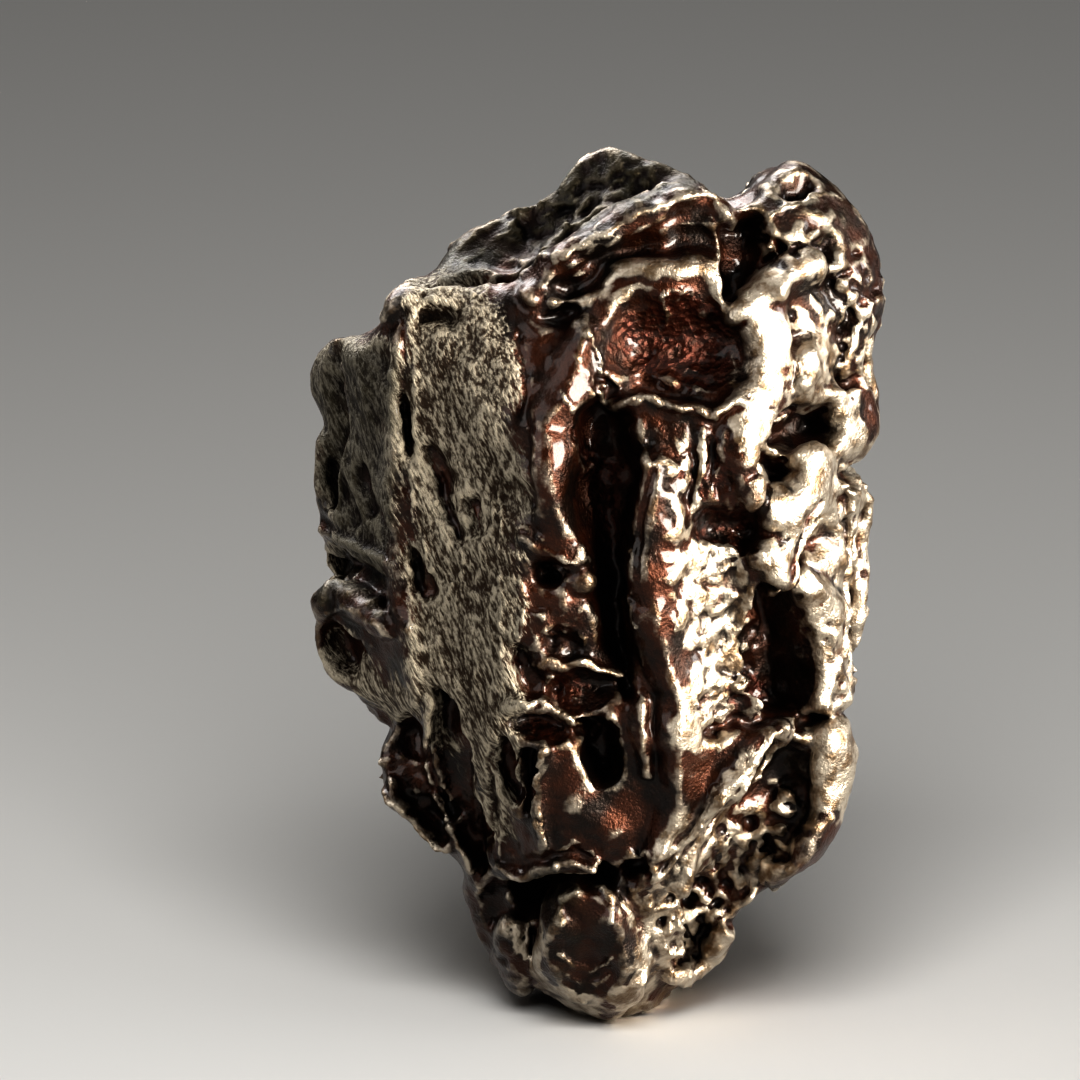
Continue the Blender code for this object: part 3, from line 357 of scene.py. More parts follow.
TOP_MARKS = (
    (2.6, soft, ((-4.5, -11.0, 3.0), (1.5, -11.5, 3.8), (8.0, -10.5, 3.4))),
    (-2.0, soft, ((-16.0, 4.0, 2.4), (-9.0, 6.0, 3.0), (-2.0, 5.0, 3.2), (5.0, 6.0, 2.2))),
    (-1.6, arch, ((-6.0, 13.0, 2.4), (-1.0, 14.0, 2.2))),
    (-2.0, arch, ((12.5, 10.0, 2.6), (12.0, 15.0, 2.4))),
    (-1.6, arch, ((9.5, -1.5, 2.2), (12.5, 3.0, 2.2))),
    (1.2, crest, ((-18.0, 9.0, 1.6), (-8.0, 9.5, 1.6), (2.0, 11.5, 1.4))),
    (1.0, crest, ((-13.0, -6.0, 1.4), (-12.0, 0.0, 1.4), (-14.0, 5.0, 1.2))),
)
# The swelling under the toe, which is cut flat: seen from below, with the front up.
FOOT_MARKS = ((2.1, soft, ((1.8, -0.4, 6.8),)),)


def stroke(height, half_width, *points):
    """A thin ridge, or a crack where the height is below 0, that runs out at both ends."""
    ends = (0, len(points) - 1)
    line = tuple((x, y, half_width * (0.6 if i in ends else 1.0)) for i, (x, y) in enumerate(points))
    return (height * (0.75 if height > 0 else 1.0), crest, line)


def lump(height, across, up, half_width):
    return (height, soft, ((across, up, half_width),))


FINE_HOLLOWS = (
    # shadow line over the ledge of the bowl, and the creases that lead down from it
    (-1.0, soft, ((0.6, 63.6, 0.8), (2.4, 62.4, 0.9), (4.5, 63.4, 0.9), (7.0, 62.9, 0.9), (9.5, 62.0, 0.9),
                  (11.6, 61.6, 0.8))),
    stroke(-0.8, 0.6, (5.2, 59.6), (5.5, 55.0), (4.4, 50.0), (4.3, 44.0)),
    stroke(-0.7, 0.6, (9.2, 59.4), (9.8, 55.2), (9.4, 51.6)),
    stroke(-0.7, 0.6, (11.6, 58.8), (11.4, 54.8), (12.8, 50.8)),
    # crease under the left ridge and the red pocket beside it
    stroke(-0.9, 0.7, (-7.5, 68.0), (-6.8, 62.0), (-6.9, 56.0), (-6.2, 51.0)),
    (-0.9, arch, ((-0.8, 60.0, 1.4), (-0.6, 56.5, 1.3))),
    # pits of the lobe at the upper right
    lump(-1.3, 25.8, 76.0, 0.7),
    lump(-1.2, 23.3, 73.2, 1.0),
    lump(-1.4, 25.2, 70.4, 1.1),
    lump(-1.2, 26.6, 72.4, 0.9),
    lump(-1.4, 24.4, 65.6, 1.0),
    lump(-1.0, 25.6, 63.4, 0.8),
    lump(-0.9, 19.7, 70.0, 0.8),
    stroke(-1.4, 0.7, (16.0, 77.8), (18.0, 77.2), (20.2, 75.8)),
    # cracks of the right-hand column
    stroke(-1.1, 0.55, (24.4, 55.6), (25.6, 55.3), (27.0, 55.6)),
    stroke(-1.0, 0.5, (24.7, 53.0), (25.1, 49.0), (24.8, 45.5), (25.4, 42.0), (25.0, 38.0), (25.5, 33.0)),
    stroke(-0.9, 0.5, (26.6, 51.0), (26.3, 47.0), (26.7, 43.0)),
    lump(-1.2, 25.6, 36.2, 1.0),
    lump(-1.1, 25.9, 34.0, 0.9),
    lump(-1.2, 25.4, 30.8, 0.9),
    stroke(-1.4, 0.7, (22.6, 51.6), (21.2, 49.2), (20.2, 46.4), (19.6, 44.0)),
    # slits down the crease of the left face
    stroke(-0.8, 0.4, (-19.2, 71.0), (-18.9, 67.0), (-19.1, 62.6)),
    stroke(-1.2, 0.6, (-19.0, 61.2), (-18.6, 58.2), (-19.2, 55.2)),
    stroke(-1.0, 0.6, (-17.6, 45.8), (-17.3, 43.6), (-16.6, 41.8)),
    # scoops of the far left facet
    (-1.0, soft, ((-26.2, 55.0, 1.1), (-25.2, 52.0, 1.2), (-24.4, 49.4, 0.9))),
    (-0.9, soft, ((-23.3, 55.0, 1.0), (-22.7, 50.6, 1.1))),
    (-0.8, soft, ((-21.6, 50.6, 0.9), (-20.4, 47.6, 0.8))),
    stroke(-0.8, 0.5, (-27.2, 46.4), (-24.0, 45.4), (-20.6, 43.8)),
    # spindle's two grooves and the notch beside it
    stroke(-1.0, 0.6, (-15.4, 54.4), (-14.4, 51.0), (-13.8, 47.8)),
    stroke(-0.7, 0.5, (-11.6, 52.2), (-11.4, 50.4), (-11.8, 48.8)),
    # lower left: lines between the slots
    stroke(-1.0, 0.6, (-10.2, 27.6), (-10.4, 23.4), (-10.0, 18.6)),
    stroke(-0.9, 0.55, (-11.6, 22.0), (-11.0, 18.0), (-10.6, 14.8)),
    # cracks of the shard and the recess beside it
    stroke(-0.7, 0.45, (16.6, 26.2), (13.8, 22.6), (11.0, 18.6)),
    stroke(-0.7, 0.45, (14.8, 23.6), (12.6, 20.4), (10.6, 16.6)),
    lump(-1.6, 15.6, 19.4, 1.2),
    lump(-1.4, 18.2, 18.2, 1.1),
    lump(-1.4, 13.0, 14.2, 1.0),
    # pits right of the toe
    lump(-1.6, 9.5, 11.8, 0.9),
    lump(-1.6, 10.8, 13.2, 0.9),
    lump(-1.4, 6.6, 9.4, 0.8),
    lump(-1.6, 12.6, 9.8, 0.9),
    lump(-1.6, 8.0, 5.6, 0.9),
)
FINE_RIDGES = (
    # the two lines of the front rim
    stroke(0.7, 0.6, (-3.5, 75.6), (0.5, 77.8), (4.5, 80.3), (8.5, 81.8), (11.0, 82.3), (12.3, 81.3), (13.3, 80.0)),
    stroke(0.6, 0.55, (-5.0, 71.8), (-3.5, 74.3), (0.5, 76.5), (4.5, 78.8), (8.5, 80.4), (11.5, 79.6)),
    stroke(0.6, 0.6, (-11.5, 71.8), (-9.5, 74.8), (-8.0, 75.6), (-3.5, 76.0)),
    stroke(0.7, 0.6, (-20.0, 73.5), (-18.5, 74.3), (-16.5, 74.1), (-12.0, 72.3)),
    stroke(0.7, 0.5, (-18.5, 68.8), (-18.0, 70.6), (-16.5, 71.5), (-14.5, 71.3), (-13.7, 69.8)),
    # lines inside the hollow top
    stroke(0.7, 0.7, (-15.0, 76.0), (-12.0, 78.5), (-9.0, 80.3), (-5.5, 81.5)),
    stroke(0.8, 0.8, (-13.5, 75.3), (-9.5, 77.8), (-3.5, 79.3), (0.5, 82.3)),
    stroke(0.6, 0.6, (-5.5, 79.8), (-3.5, 80.8), (-2.3, 82.3)),
    lump(0.8, 4.5, 83.3, 2.0),
    stroke(0.6, 0.6, (1.5, 82.8), (3.0, 84.3), (5.0, 85.0), (6.5, 82.3)),
    # lobe at the upper right
    stroke(0.6, 0.6, (12.5, 81.8), (15.0, 83.3), (18.0, 85.3), (19.5, 85.6), (22.0, 84.6), (24.5, 82.8)),
    stroke(0.6, 0.6, (16.2, 79.3), (18.0, 80.6), (20.5, 81.5), (22.5, 82.2), (24.5, 81.8)),
    lump(0.8, 17.2, 82.5, 1.5),
    lump(0.9, 21.6, 79.0, 3.6),
    lump(0.8, 18.6, 72.4, 2.2),
    lump(1.0, 20.9, 64.0, 2.4),
    lump(0.8, 23.8, 60.0, 1.6),
    # bowl
    stroke(0.8, 0.7, (6.6, 72.0), (6.9, 70.0), (6.8, 68.4)),
    stroke(1.0, 0.65, (0.2, 62.3), (2.2, 60.8), (4.5, 62.0), (6.5, 61.6), (9.5, 60.6), (11.7, 60.0), (14.0, 61.8),
           (15.5, 60.8)),
    # right flank of the middle ridge
    (0.8, soft, ((7.8, 55.0, 2.0), (8.2, 50.0, 2.4), (8.0, 45.0, 2.4), (8.4, 40.0, 2.0))),
    # drips under it
    stroke(0.8, 0.9, (7.6, 59.6), (8.0, 56.0), (7.6, 52.0)),
    stroke(0.7, 0.8, (10.4, 59.0), (10.6, 56.0), (10.0, 52.6)),
    stroke(0.6, 0.7, (12.8, 58.6), (12.2, 55.4), (11.4, 52.4)),
    # lobes of the left ridge where it leaves the bowl
    stroke(0.9, 0.8, (-1.0, 68.3), (0.5, 65.3), (0.8, 62.8)),
    stroke(0.8, 0.8, (-2.0, 66.3), (-0.9, 64.0), (-0.5, 62.0)),
    stroke(0.6, 0.5, (-3.4, 62.4), (-2.2, 61.0), (-1.4, 59.6)),
    # right-hand side
    stroke(0.9, 0.6, (15.3, 42.8), (15.6, 41.0), (15.9, 39.4)),
    lump(1.0, 14.6, 33.6, 1.3),
    lump(1.0, 16.6, 32.0, 1.2),
    lump(0.9, 15.6, 30.6, 1.1),
    stroke(0.8, 0.5, (11.0, 44.5), (12.5, 44.8), (14.4, 45.6), (16.5, 46.6)),
    stroke(0.6, 0.6, (20.4, 46.0), (22.6, 43.0), (23.6, 39.0), (23.8, 34.6), (23.0, 30.8)),
    # middle
    stroke(0.6, 0.45, (-6.7, 58.8), (-6.0, 57.3), (-6.2, 55.8)),
    stroke(0.8, 0.55, (-7.5, 49.1), (-6.4, 48.7), (-5.0, 47.8)),
    stroke(0.7, 0.45, (-4.7, 46.8), (-3.5, 46.0), (-2.0, 45.6)),
    lump(0.8, -5.0, 44.7, 0.8),
    stroke(0.8, 0.5, (3.0, 45.8), (3.3, 43.8), (3.7, 40.3), (4.1, 39.3)),
    stroke(0.7, 0.45, (-5.5, 40.3), (-4.7, 38.3), (-2.5, 38.5), (-1.2, 38.1)),
    stroke(0.6, 0.4, (-3.5, 39.3), (-2.0, 39.0), (-1.2, 37.8)),
    stroke(0.9, 0.5, (-6.0, 38.3), (-5.0, 35.8), (-3.5, 35.3), (-1.0, 36.0), (0.5, 35.3), (2.8, 34.3)),
    stroke(0.6, 0.45, (-5.0, 34.3), (-3.5, 34.1), (-2.0, 33.5)),
    stroke(0.9, 0.5, (-8.7, 31.8), (-7.0, 31.2), (-5.0, 32.1), (-3.5, 30.8), (-1.5, 29.3), (-0.3, 28.3)),
    stroke(0.8, 0.5, (-0.3, 28.3), (0.2, 29.6), (1.7, 30.5), (2.5, 28.8)),
    stroke(0.7, 0.6, (4.2, 32.8), (4.6, 30.0), (4.8, 26.8)),
    stroke(0.8, 0.6, (3.4, 48.2), (3.2, 46.6)),
    # left face
    stroke(0.5, 0.6, (-26.0, 48.5), (-25.0, 47.8), (-23.0, 46.6), (-20.3, 45.3)),
    stroke(0.6, 0.5, (-26.6, 40.4), (-25.0, 41.4), (-23.0, 40.2), (-21.5, 39.2), (-20.2, 38.0)),
    stroke(0.6, 0.6, (-20.4, 66.0), (-20.2, 60.0), (-20.1, 55.8)),
    stroke(0.7, 0.6, (-17.9, 69.8), (-17.7, 60.0), (-17.9, 49.8)),
    stroke(0.7, 0.5, (-18.3, 54.8), (-17.5, 49.8), (-16.3, 44.8)),
    stroke(0.6, 0.5, (-18.6, 47.8), (-18.4, 43.0), (-18.6, 37.8)),
    stroke(0.8, 0.5, (-15.7, 51.8), (-14.6, 49.4), (-13.7, 47.3)),
    stroke(0.8, 0.55, (-10.3, 52.3), (-10.2, 50.4), (-10.3, 48.5)),
    stroke(0.6, 0.45, (-9.5, 55.8), (-9.4, 48.0), (-9.6, 40.0), (-9.4, 32.8)),
    stroke(0.6, 0.45, (-13.3, 47.0), (-13.2, 44.8), (-14.5, 41.8)),
    stroke(0.6, 0.45, (-7.5, 43.8), (-7.0, 41.8), (-7.4, 37.8)),
    # lower left
    stroke(0.9, 0.55, (-21.7, 22.8), (-19.5, 20.6), (-17.0, 18.0), (-15.0, 16.6)),
    stroke(0.9, 0.5, (-17.0, 27.3), (-17.1, 25.3), (-15.5, 22.3), (-14.0, 18.8), (-12.5, 15.3), (-11.5, 12.8)),
    stroke(0.7, 0.5, (-9.5, 27.8), (-9.4, 22.0), (-9.5, 15.8)),
    stroke(0.8, 0.5, (-5.7, 26.8), (-5.9, 22.8), (-5.3, 18.8)),
    stroke(0.8, 0.7, (-6.0, 19.8), (-4.8, 17.2), (-3.5, 14.8)),
    stroke(0.8, 0.5, (-4.0, 16.8), (-2.0, 18.0), (-0.5, 16.8), (0.5, 15.6)),
    # shard
    stroke(0.9, 0.5, (18.8, 29.0), (17.0, 27.8), (15.0, 24.8), (12.5, 22.8), (10.5, 19.8), (9.5, 18.3), (7.0, 16.8),
           (5.5, 15.8)),
    stroke(0.6, 0.5, (15.0, 23.8), (14.5, 21.8), (13.0, 18.8), (12.0, 16.8)),
    stroke(0.4, 0.35, (16.0, 26.4), (13.0, 22.4), (9.0, 17.6)),
    stroke(0.4, 0.35, (15.4, 25.2), (12.6, 21.4), (10.4, 17.6)),
    lump(1.4, 18.5, 21.6, 1.9),
    lump(1.2, 16.2, 16.4, 1.6),
    stroke(0.8, 0.7, (20.8, 19.6), (22.2, 19.0), (23.6, 20.2)),
    # toe
    stroke(0.9, 0.6, (-3.4, 9.6), (-3.2, 12.0), (-1.6, 13.4), (0.8, 13.2), (2.0, 11.4), (1.6, 9.8)),
    stroke(0.8, 0.5, (-3.6, 6.8), (-2.2, 5.4), (-0.4, 5.0), (1.4, 5.9)),
    stroke(0.7, 0.45, (-3.0, 4.6), (-1.4, 3.6), (0.6, 3.8), (1.8, 4.6)),
    stroke(0.7, 0.8, (2.8, 12.0), (4.8, 8.8), (5.4, 5.8), (4.4, 2.8)),
    stroke(0.9, 0.6, (-6.9, 9.6), (-6.8, 7.0), (-5.6, 4.4), (-3.6, 2.6), (-1.4, 1.8)),
    stroke(0.9, 0.5, (2.6, 15.6), (3.4, 16.8), (5.2, 16.6), (6.0, 15.0), (5.2, 13.2), (3.6, 12.9)),
    stroke(0.8, 0.6, (8.6, 15.0), (11.6, 11.4), (13.6, 8.0)),
    stroke(0.7, 0.6, (7.0, 12.6), (8.4, 8.6), (7.0, 4.6)),
)

# Where small pits crowd, as the eye sees it: across, up, half width, count, their half widths and depth.
PITTED = (
    (25.6, 72.0, 3.0, 26, (0.4, 0.8), 0.8),
    (24.4, 64.6, 2.4, 14, (0.4, 0.7), 0.7),
    (25.8, 44.0, 9.0, 34, (0.3, 0.6), 0.5),
    (25.4, 34.4, 3.0, 16, (0.4, 0.8), 0.8),
    (15.2, 16.4, 4.0, 26, (0.4, 0.9), 0.9),
    (10.0, 9.0, 4.4, 30, (0.4, 0.9), 0.9),
    (13.4, 38.0, 3.4, 20, (0.3, 0.7), 0.6),
    (-17.5, 20.0, 4.0, 16, (0.4, 0.8), 0.7),
    (-9.0, 9.0, 4.0, 14, (0.4, 0.8), 0.7),
)

# Where the skin looks each way, as marks of the share it has there: brushed matt, bare and bright, rough
# with red grains, and painted shade.
MATT = (
    (1.0, broad, ((-14.5, 70.0, 6.4), (-13.4, 64.0, 7.6), (-14.6, 58.6, 7.4), (-12.8, 53.0, 8.6), (-14.0, 47.0, 7.0),
                  (-12.6, 41.0, 8.0), (-14.0, 35.6, 5.6), (-12.4, 31.0, 6.2))),
    (0.8, broad, ((-23.5, 64.0, 6.0), (-24.0, 54.0, 6.0), (-23.5, 46.0, 4.5))),
    (0.7, broad, ((-10.5, 28.0, 3.6), (-10.0, 20.0, 2.8))),
    (0.9, broad, ((-25.6, 37.0, 2.4), (-22.5, 33.0, 3.4), (-19.5, 31.0, 3.0))),
    (0.8, broad, ((-26.0, 47.0, 2.0), (-22.0, 45.0, 1.8))),
)
BARE = (
    (0.3, broad, ((22.5, 80.0, 7.0), (22.0, 72.0, 5.0))),
    (0.45, broad, ((24.0, 71.0, 4.0), (26.0, 65.0, 3.0))),
    (1.0, broad, ((20.8, 67.6, 3.2), (22.4, 61.0, 4.4), (24.0, 54.0, 5.0), (24.0, 46.0, 5.0), (24.5, 36.0, 4.5),
                  (24.0, 24.0, 5.0))),
    (0.9, broad, ((15.5, 72.5, 3.5), (16.5, 66.0, 3.0), (15.0, 60.0, 2.6), (20.0, 52.0, 3.4), (18.0, 46.0, 2.6))),
    (0.45, broad, ((1.0, 73.6, 3.0), (8.0, 74.8, 3.0), (13.0, 73.6, 3.0))),
    (1.0, broad, ((17.0, 27.2, 2.2), (12.6, 21.8, 3.4), (8.8, 17.0, 4.0))),
    (1.0, broad, ((8.0, 13.0, 3.4), (10.0, 9.0, 4.6), (8.0, 5.6, 3.0))),
    (1.0, broad, ((10.4, 46.0, 3.4), (11.6, 41.0, 4.6), (12.0, 35.6, 4.4), (10.6, 29.6, 3.4))),
    (0.2, broad, ((-1.0, 26.0, 2.6), (-3.0, 22.0, 2.0))),
    (1.0, broad, ((3.8, 11.8, 2.0), (5.6, 8.0, 2.7), (5.6, 4.4, 2.8), (3.0, 1.2, 2.2))),
    (0.9, broad, ((-7.0, 9.4, 1.3), (-6.6, 5.6, 1.5), (-4.4, 2.2, 1.6), (-1.0, 0.8, 1.7))),
    (1.0, broad, ((14.6, 14.6, 3.0), (16.4, 18.0, 3.4), (18.0, 22.6, 2.6))),
    (0.5, broad, ((8.4, 56.0, 1.8), (8.6, 48.0, 2.2), (9.2, 42.0, 2.0))),
)
GRAINY = (
    (1.0, broad, ((6.4, 67.6, 5.6), (11.0, 67.4, 5.6))),
    (0.9, broad, ((-1.2, 58.6, 1.8), (0.6, 54.0, 2.6), (1.2, 46.0, 2.6))),
    (0.8, broad, ((11.0, 55.6, 3.6), (12.6, 49.0, 4.0))),
    (0.9, broad, ((15.4, 33.0, 2.8), (12.0, 32.0, 2.4))),
    (0.8, broad, ((-1.4, 33.0, 2.8), (-5.6, 29.6, 2.4))),
    (0.7, broad, ((-15.2, 28.0, 1.8), (-14.0, 21.0, 1.8))),
)
SLEEK = (
    (1.0, broad, ((-2.0, 66.0, 3.0), (-3.6, 60.0, 3.4), (-4.0, 54.0, 3.4), (-2.6, 47.6, 3.0))),
    (1.0, broad, ((7.0, 54.0, 3.0), (6.6, 46.0, 3.2), (7.0, 38.0, 3.0), (8.6, 30.0, 3.0), (8.0, 22.0, 3.4))),
    (1.0, broad, ((17.0, 71.0, 3.0), (17.4, 65.0, 3.0), (15.4, 59.6, 3.0))),
    (1.0, broad, ((21.6, 79.4, 5.4), (21.0, 68.0, 2.6), (20.6, 64.0, 3.4), (20.8, 53.0, 3.0), (18.6, 47.4, 2.6))),
    (0.9, broad, ((23.4, 39.6, 2.6), (23.0, 33.6, 2.4), (24.0, 26.6, 3.4), (23.6, 20.4, 3.4))),
    (0.8, broad, ((0.0, 12.0, 2.4), (0.2, 6.4, 5.6))),
    (0.7, broad, ((2.6, 74.4, 2.6), (10.0, 74.6, 2.6))),
    (0.7, broad, ((-2.0, 24.0, 3.4), (2.0, 19.0, 4.0))),
)
RUGGED = (
    (1.0, broad, ((15.0, 16.0, 4.6), (17.4, 22.0, 4.0))),
    (1.0, broad, ((7.6, 14.0, 2.6), (9.4, 9.4, 3.8))),
    (0.8, broad, ((24.6, 72.0, 3.4), (24.6, 63.0, 2.6))),
    (0.8, broad, ((11.4, 46.0, 2.6), (12.6, 38.0, 3.6), (12.2, 31.6, 3.6))),
    (0.6, broad, ((-4.4, 43.0, 3.6), (-4.4, 36.0, 4.0), (-4.0, 30.0, 3.6))),
    (0.7, broad, ((26.0, 52.0, 2.6), (26.0, 42.0, 2.6), (25.6, 32.0, 2.6))),
    (0.7, broad, ((-18.0, 26.0, 3.0), (-16.0, 20.0, 3.0))),
    (0.6, broad, ((-6.0, 79.0, 4.0), (3.0, 83.0, 4.0))),
    (0.6, broad, ((19.4, 59.0, 2.6), (17.0, 54.6, 2.4))),
)
# Painted shade: the hollow top, the ear's band, the knob's face, the cavity under the front plate, the far left facet
# and the top of the upper right lobe are painted near black, olive on their raised spots.
PAINTED_SHADE = (
    (1.0, broad, ((-14.0, 76.0, 3.5), (-6.0, 79.5, 4.0), (2.0, 83.5, 4.0), (9.0, 84.5, 3.0))),
    (0.8, broad, ((-27.4, 41.4, 1.5), (-25.6, 43.0, 1.5), (-23.2, 42.0, 1.5), (-21.0, 40.4, 1.2))),
    (0.3, broad, ((-1.6, 10.4, 2.2), (-1.0, 6.6, 3.4), (-0.8, 5.2, 3.0))),
    (0.8, broad, ((-4.0, 12.4, 4.0),)),
    (0.9, broad, ((-24.0, 63.0, 5.6), (-24.0, 54.0, 5.2), (-23.0, 47.0, 4.0))),
    (0.5, broad, ((18.6, 81.0, 5.0), (22.6, 80.0, 5.0))),
)

# The brushed streaks run down the left face, leaning to the right as they go down.
STREAK_LEAN_DEG = 28.0
LUMP_MIDDLE = Vector((0.0, 0.0, 43.0)) * MM
CAMERA_AWAY = 3.0
FRONT_SHARE = 0.66  # of all triangles


def streak_frame():
    """Turns a place in mm into one where a streak is 0.9 wide, 0.9 deep and 4 long."""
    lean = math.radians(STREAK_LEAN_DEG)
    along = np.array((math.sin(lean), 0.0, -math.cos(lean))) / 4.0
    beside = np.array((math.cos(lean), 0.0, math.sin(lean))) / 0.9
    return np.array((beside, (0.0, 1 / 0.9, 0.0), along)).T


STREAK_FRAME = streak_frame()


def linear(hex_colour):
    """An sRGB hex colour as linear red, green and blue."""
    channels = (int(hex_colour[i : i + 2], 16) / 255 for i in (1, 3, 5))
    return tuple(c / 12.92 if c <= 0.04045 else ((c + 0.055) / 1.055) ** 2.4 for c in channels)


def step_up(value, low, high):
    """0 below low, 1 above high and a smooth rise between them."""
    t = np.clip((value - low) / (high - low), 0, 1)
    return t * t * (3 - 2 * t)


def axes_of(azimuth_deg, elevation_deg):
    """The directions across and up as an eye far away sees them, and the direction to that eye."""
    a, e = math.radians(azimuth_deg), math.radians(elevation_deg)
    right = np.array((math.cos(a), math.sin(a), 0.0))
    up = np.array((-math.sin(a) * math.sin(e), math.cos(a) * math.sin(e), math.cos(e)))
    eye = np.array((math.sin(a) * math.cos(e), -math.cos(a) * math.cos(e), math.sin(e)))
    return right, up, eye


def front_view(points):
    """Where points in mm are for the eye in front: across and up."""
    right, up, _ = axes_of(0.0, EYE_HEIGHT_DEG)
    return points @ right, points @ up + EYE_RISE


# The block that the skin is laid on.


def ring_at(level):
    """One level of the cage as twelve points."""
    height, left, right, front, back = level
    middle_x, middle_y = (left + right) / 2, (front + back) / 2
    half_x, half_y = (right - left) / 2 * CAGE_SWELL, (back - front) / 2 * CAGE_SWELL
    return [Vector((middle_x + x * half_x, middle_y + y * half_y, height)) for x, y in PLAN]


def ring_between(lower, upper, share, swell):
    """A ring part of the way from one ring to the next, swelled outwards."""
    ring = [a.lerp(b, share) for a, b in zip(lower, upper)]
    return [Vector((p.x * swell, p.y * swell, p.z)) for p in ring]


def place_ring(obj, ring, before):
    """Moves the selected ring, which lies where the ring before it does, to its own points."""
    bm = bmesh.from_edit_mesh(obj.data)
    for vert in [v for v in bm.verts if v.select]:
        corner = min(range(len(before)), key=lambda i: (vert.co / MM - before[i]).length)
        vert.co = ring[corner] * MM
    bmesh.update_edit_mesh(obj.data)


def crease_corners(obj, rings):
    """Keeps the upright edges at some corners of the rings sharp."""
    places = {(i, corner): ring[corner] for i, ring in enumerate(rings) for corner in CORNERS}
    bm = bmesh.from_edit_mesh(obj.data)
    bm.verts.ensure_lookup_table()
    sharpness = bm.edges.layers.float.new("crease_edge")
    found = {key: min(bm.verts, key=lambda v: (v.co / MM - place).length) for key, place in places.items()}
    for (i, corner), vert in found.items():
        above = found.get((i + 1, corner))
        edge = above and bm.edges.get((vert, above))
        if edge:
            edge[sharpness] = CORNERS[corner]
    bmesh.update_edit_mesh(obj.data)


def build_block():
    """The closed block of quads, extruded ring by ring from the foot to the floor of the hollow top."""
    rings = [ring_at(level) for level in LEVELS]
    rings.append(ring_between(rings[-1], [Vector(p) for p in RIM], 0.6, 1.06))
    rings += [[Vector(p) for p in RIM], [Vector(p) for p in BASIN]]
    bpy.ops.object.select_all(action="DESELECT")
    bpy.ops.mesh.primitive_circle_add(vertices=len(PLAN), radius=MM, fill_type="NGON")
    obj = bpy.context.object
    obj.name = obj.data.name = "iron_lump"
    bpy.ops.object.mode_set(mode="EDIT")
    bm = bmesh.from_edit_mesh(obj.data)
    for vert, point in zip(sorted(bm.verts, key=lambda v: v.index), rings[0]):
        vert.co = point * MM
    bmesh.update_edit_mesh(obj.data)
    bpy.ops.mesh.select_all(action="SELECT")
    for before, ring in zip(rings, rings[1:]):
        bpy.ops.mesh.extrude_region_move()
        place_ring(obj, ring, before)
    poke_middle(obj, Vector(BASIN_MIDDLE))
    bpy.ops.mesh.select_all(action="DESELECT")
    bm = bmesh.from_edit_mesh(obj.data)
    for face in bm.faces:
        face.select = len(face.verts) == len(PLAN)
    bmesh.update_edit_mesh(obj.data)
    poke_middle(obj, Vector((2.0, 0.5, LEVELS[0][0] - 1.0)))
    crease_corners(obj, rings[2:-1])
    bpy.ops.mesh.select_all(action="SELECT")
    bpy.ops.mesh.normals_make_consistent(inside=False)
    bpy.ops.object.mode_set(mode="OBJECT")
    return obj


def poke_middle(obj, middle):
    """Splits the selected face into triangles round a point."""
    bpy.ops.mesh.poke()
    bm = bmesh.from_edit_mesh(obj.data)
    hub = max((v for v in bm.verts if v.select), key=lambda v: len(v.link_edges))
    hub.co = middle * MM
    bmesh.update_edit_mesh(obj.data)


def apply_modifier(obj, kind, **settings):
    """Adds a modifier to the object and makes it part of the mesh."""
    bpy.ops.object.select_all(action="DESELECT")
    obj.select_set(True)
    bpy.context.view_layer.objects.active = obj
    bpy.ops.object.modifier_add(type=kind)
    modifier = obj.modifiers[-1]
    for name, value in settings.items():
        setattr(modifier, name, value)
    bpy.ops.object.modifier_apply(modifier=modifier.name)


def even_skin(obj, step):
    apply_modifier(obj, "REMESH", mode="VOXEL", voxel_size=step)


# Reading, smoothing and pressing the skin.


def read_skin(obj):
    """The mesh's points in mm and its outward directions, smoothed over their neighbours."""
    count = len(obj.data.vertices)
    points, normals = np.empty(count * 3), np.empty(count * 3)
    obj.data.vertices.foreach_get("co", points)
    obj.data.vertex_normals.foreach_get("vector", normals)
    normals = even_out(obj, normals.reshape(-1, 3), 20)
    return points.reshape(-1, 3) / MM, normals / np.linalg.norm(normals, axis=1)[:, None]


def write_skin(obj, points):
    obj.data.vertices.foreach_set("co", (points * MM).ravel())
    obj.data.update()


def even_out(obj, values, rounds):
    """Averages values over neighbouring points, a number of rounds."""
    edges = np.empty(len(obj.data.edges) * 2, np.int32)
    obj.data.edges.foreach_get("vertices", edges)
    a, b = edges.reshape(-1, 2).T
    total = len(values)
    count = np.bincount(a, minlength=total) + np.bincount(b, minlength=total)
    for _ in range(rounds):
        summed = np.zeros_like(values)
        for column in range(values.shape[1]):
            summed[:, column] = np.bincount(a, values[b, column], total)
            summed[:, column] += np.bincount(b, values[a, column], total)
        values = (values + summed / count[:, None]) / 2
    return values


def wobble(points, size, seed):
    """A smooth random value for each point, from about -1 to 1, with lumps of a size in mm."""
    shift = Vector((seed * 13.7, seed * 5.3, seed * 9.1))
    return np.array([noise.noise(Vector(p) / size + shift) for p in points])


def grains(points, size, seed):
    """Rounded grains packed side by side, of a size in mm: 1 on a grain's top and 0 between grains."""
    shift = Vector((seed * 3.1, seed * 7.7, seed * 1.9))
    near = np.array([noise.voronoi(Vector(p) / size + shift)[0][0] for p in points])
    return 1 - np.clip(near / 0.8, 0, 1) ** 2


def chips(points, size, seed):
    """Flat facets side by side, as on broken stone: each tilted its own way, from about -1 to 1."""
    shift = Vector((seed * 4.9, seed * 2.3, seed * 8.3))
    height = np.empty(len(points))
    for i, point in enumerate(points):
        place = Vector(point) / size + shift
        middle = noise.voronoi(place)[1][0]
        tilt = noise.cell_vector(middle * 9.7)
        height[i] = 2 * (place - middle).dot(tilt - Vector((0.5, 0.5, 0.5))) + tilt.x - 0.5
    return height


def veins(points, size, seed):
    """A net of thin raised lines, of a mesh size in mm: 1 on a line and 0 far from it."""
    return np.clip(1 - 3.5 * np.abs(wobble(points, size, seed)), 0, 1)


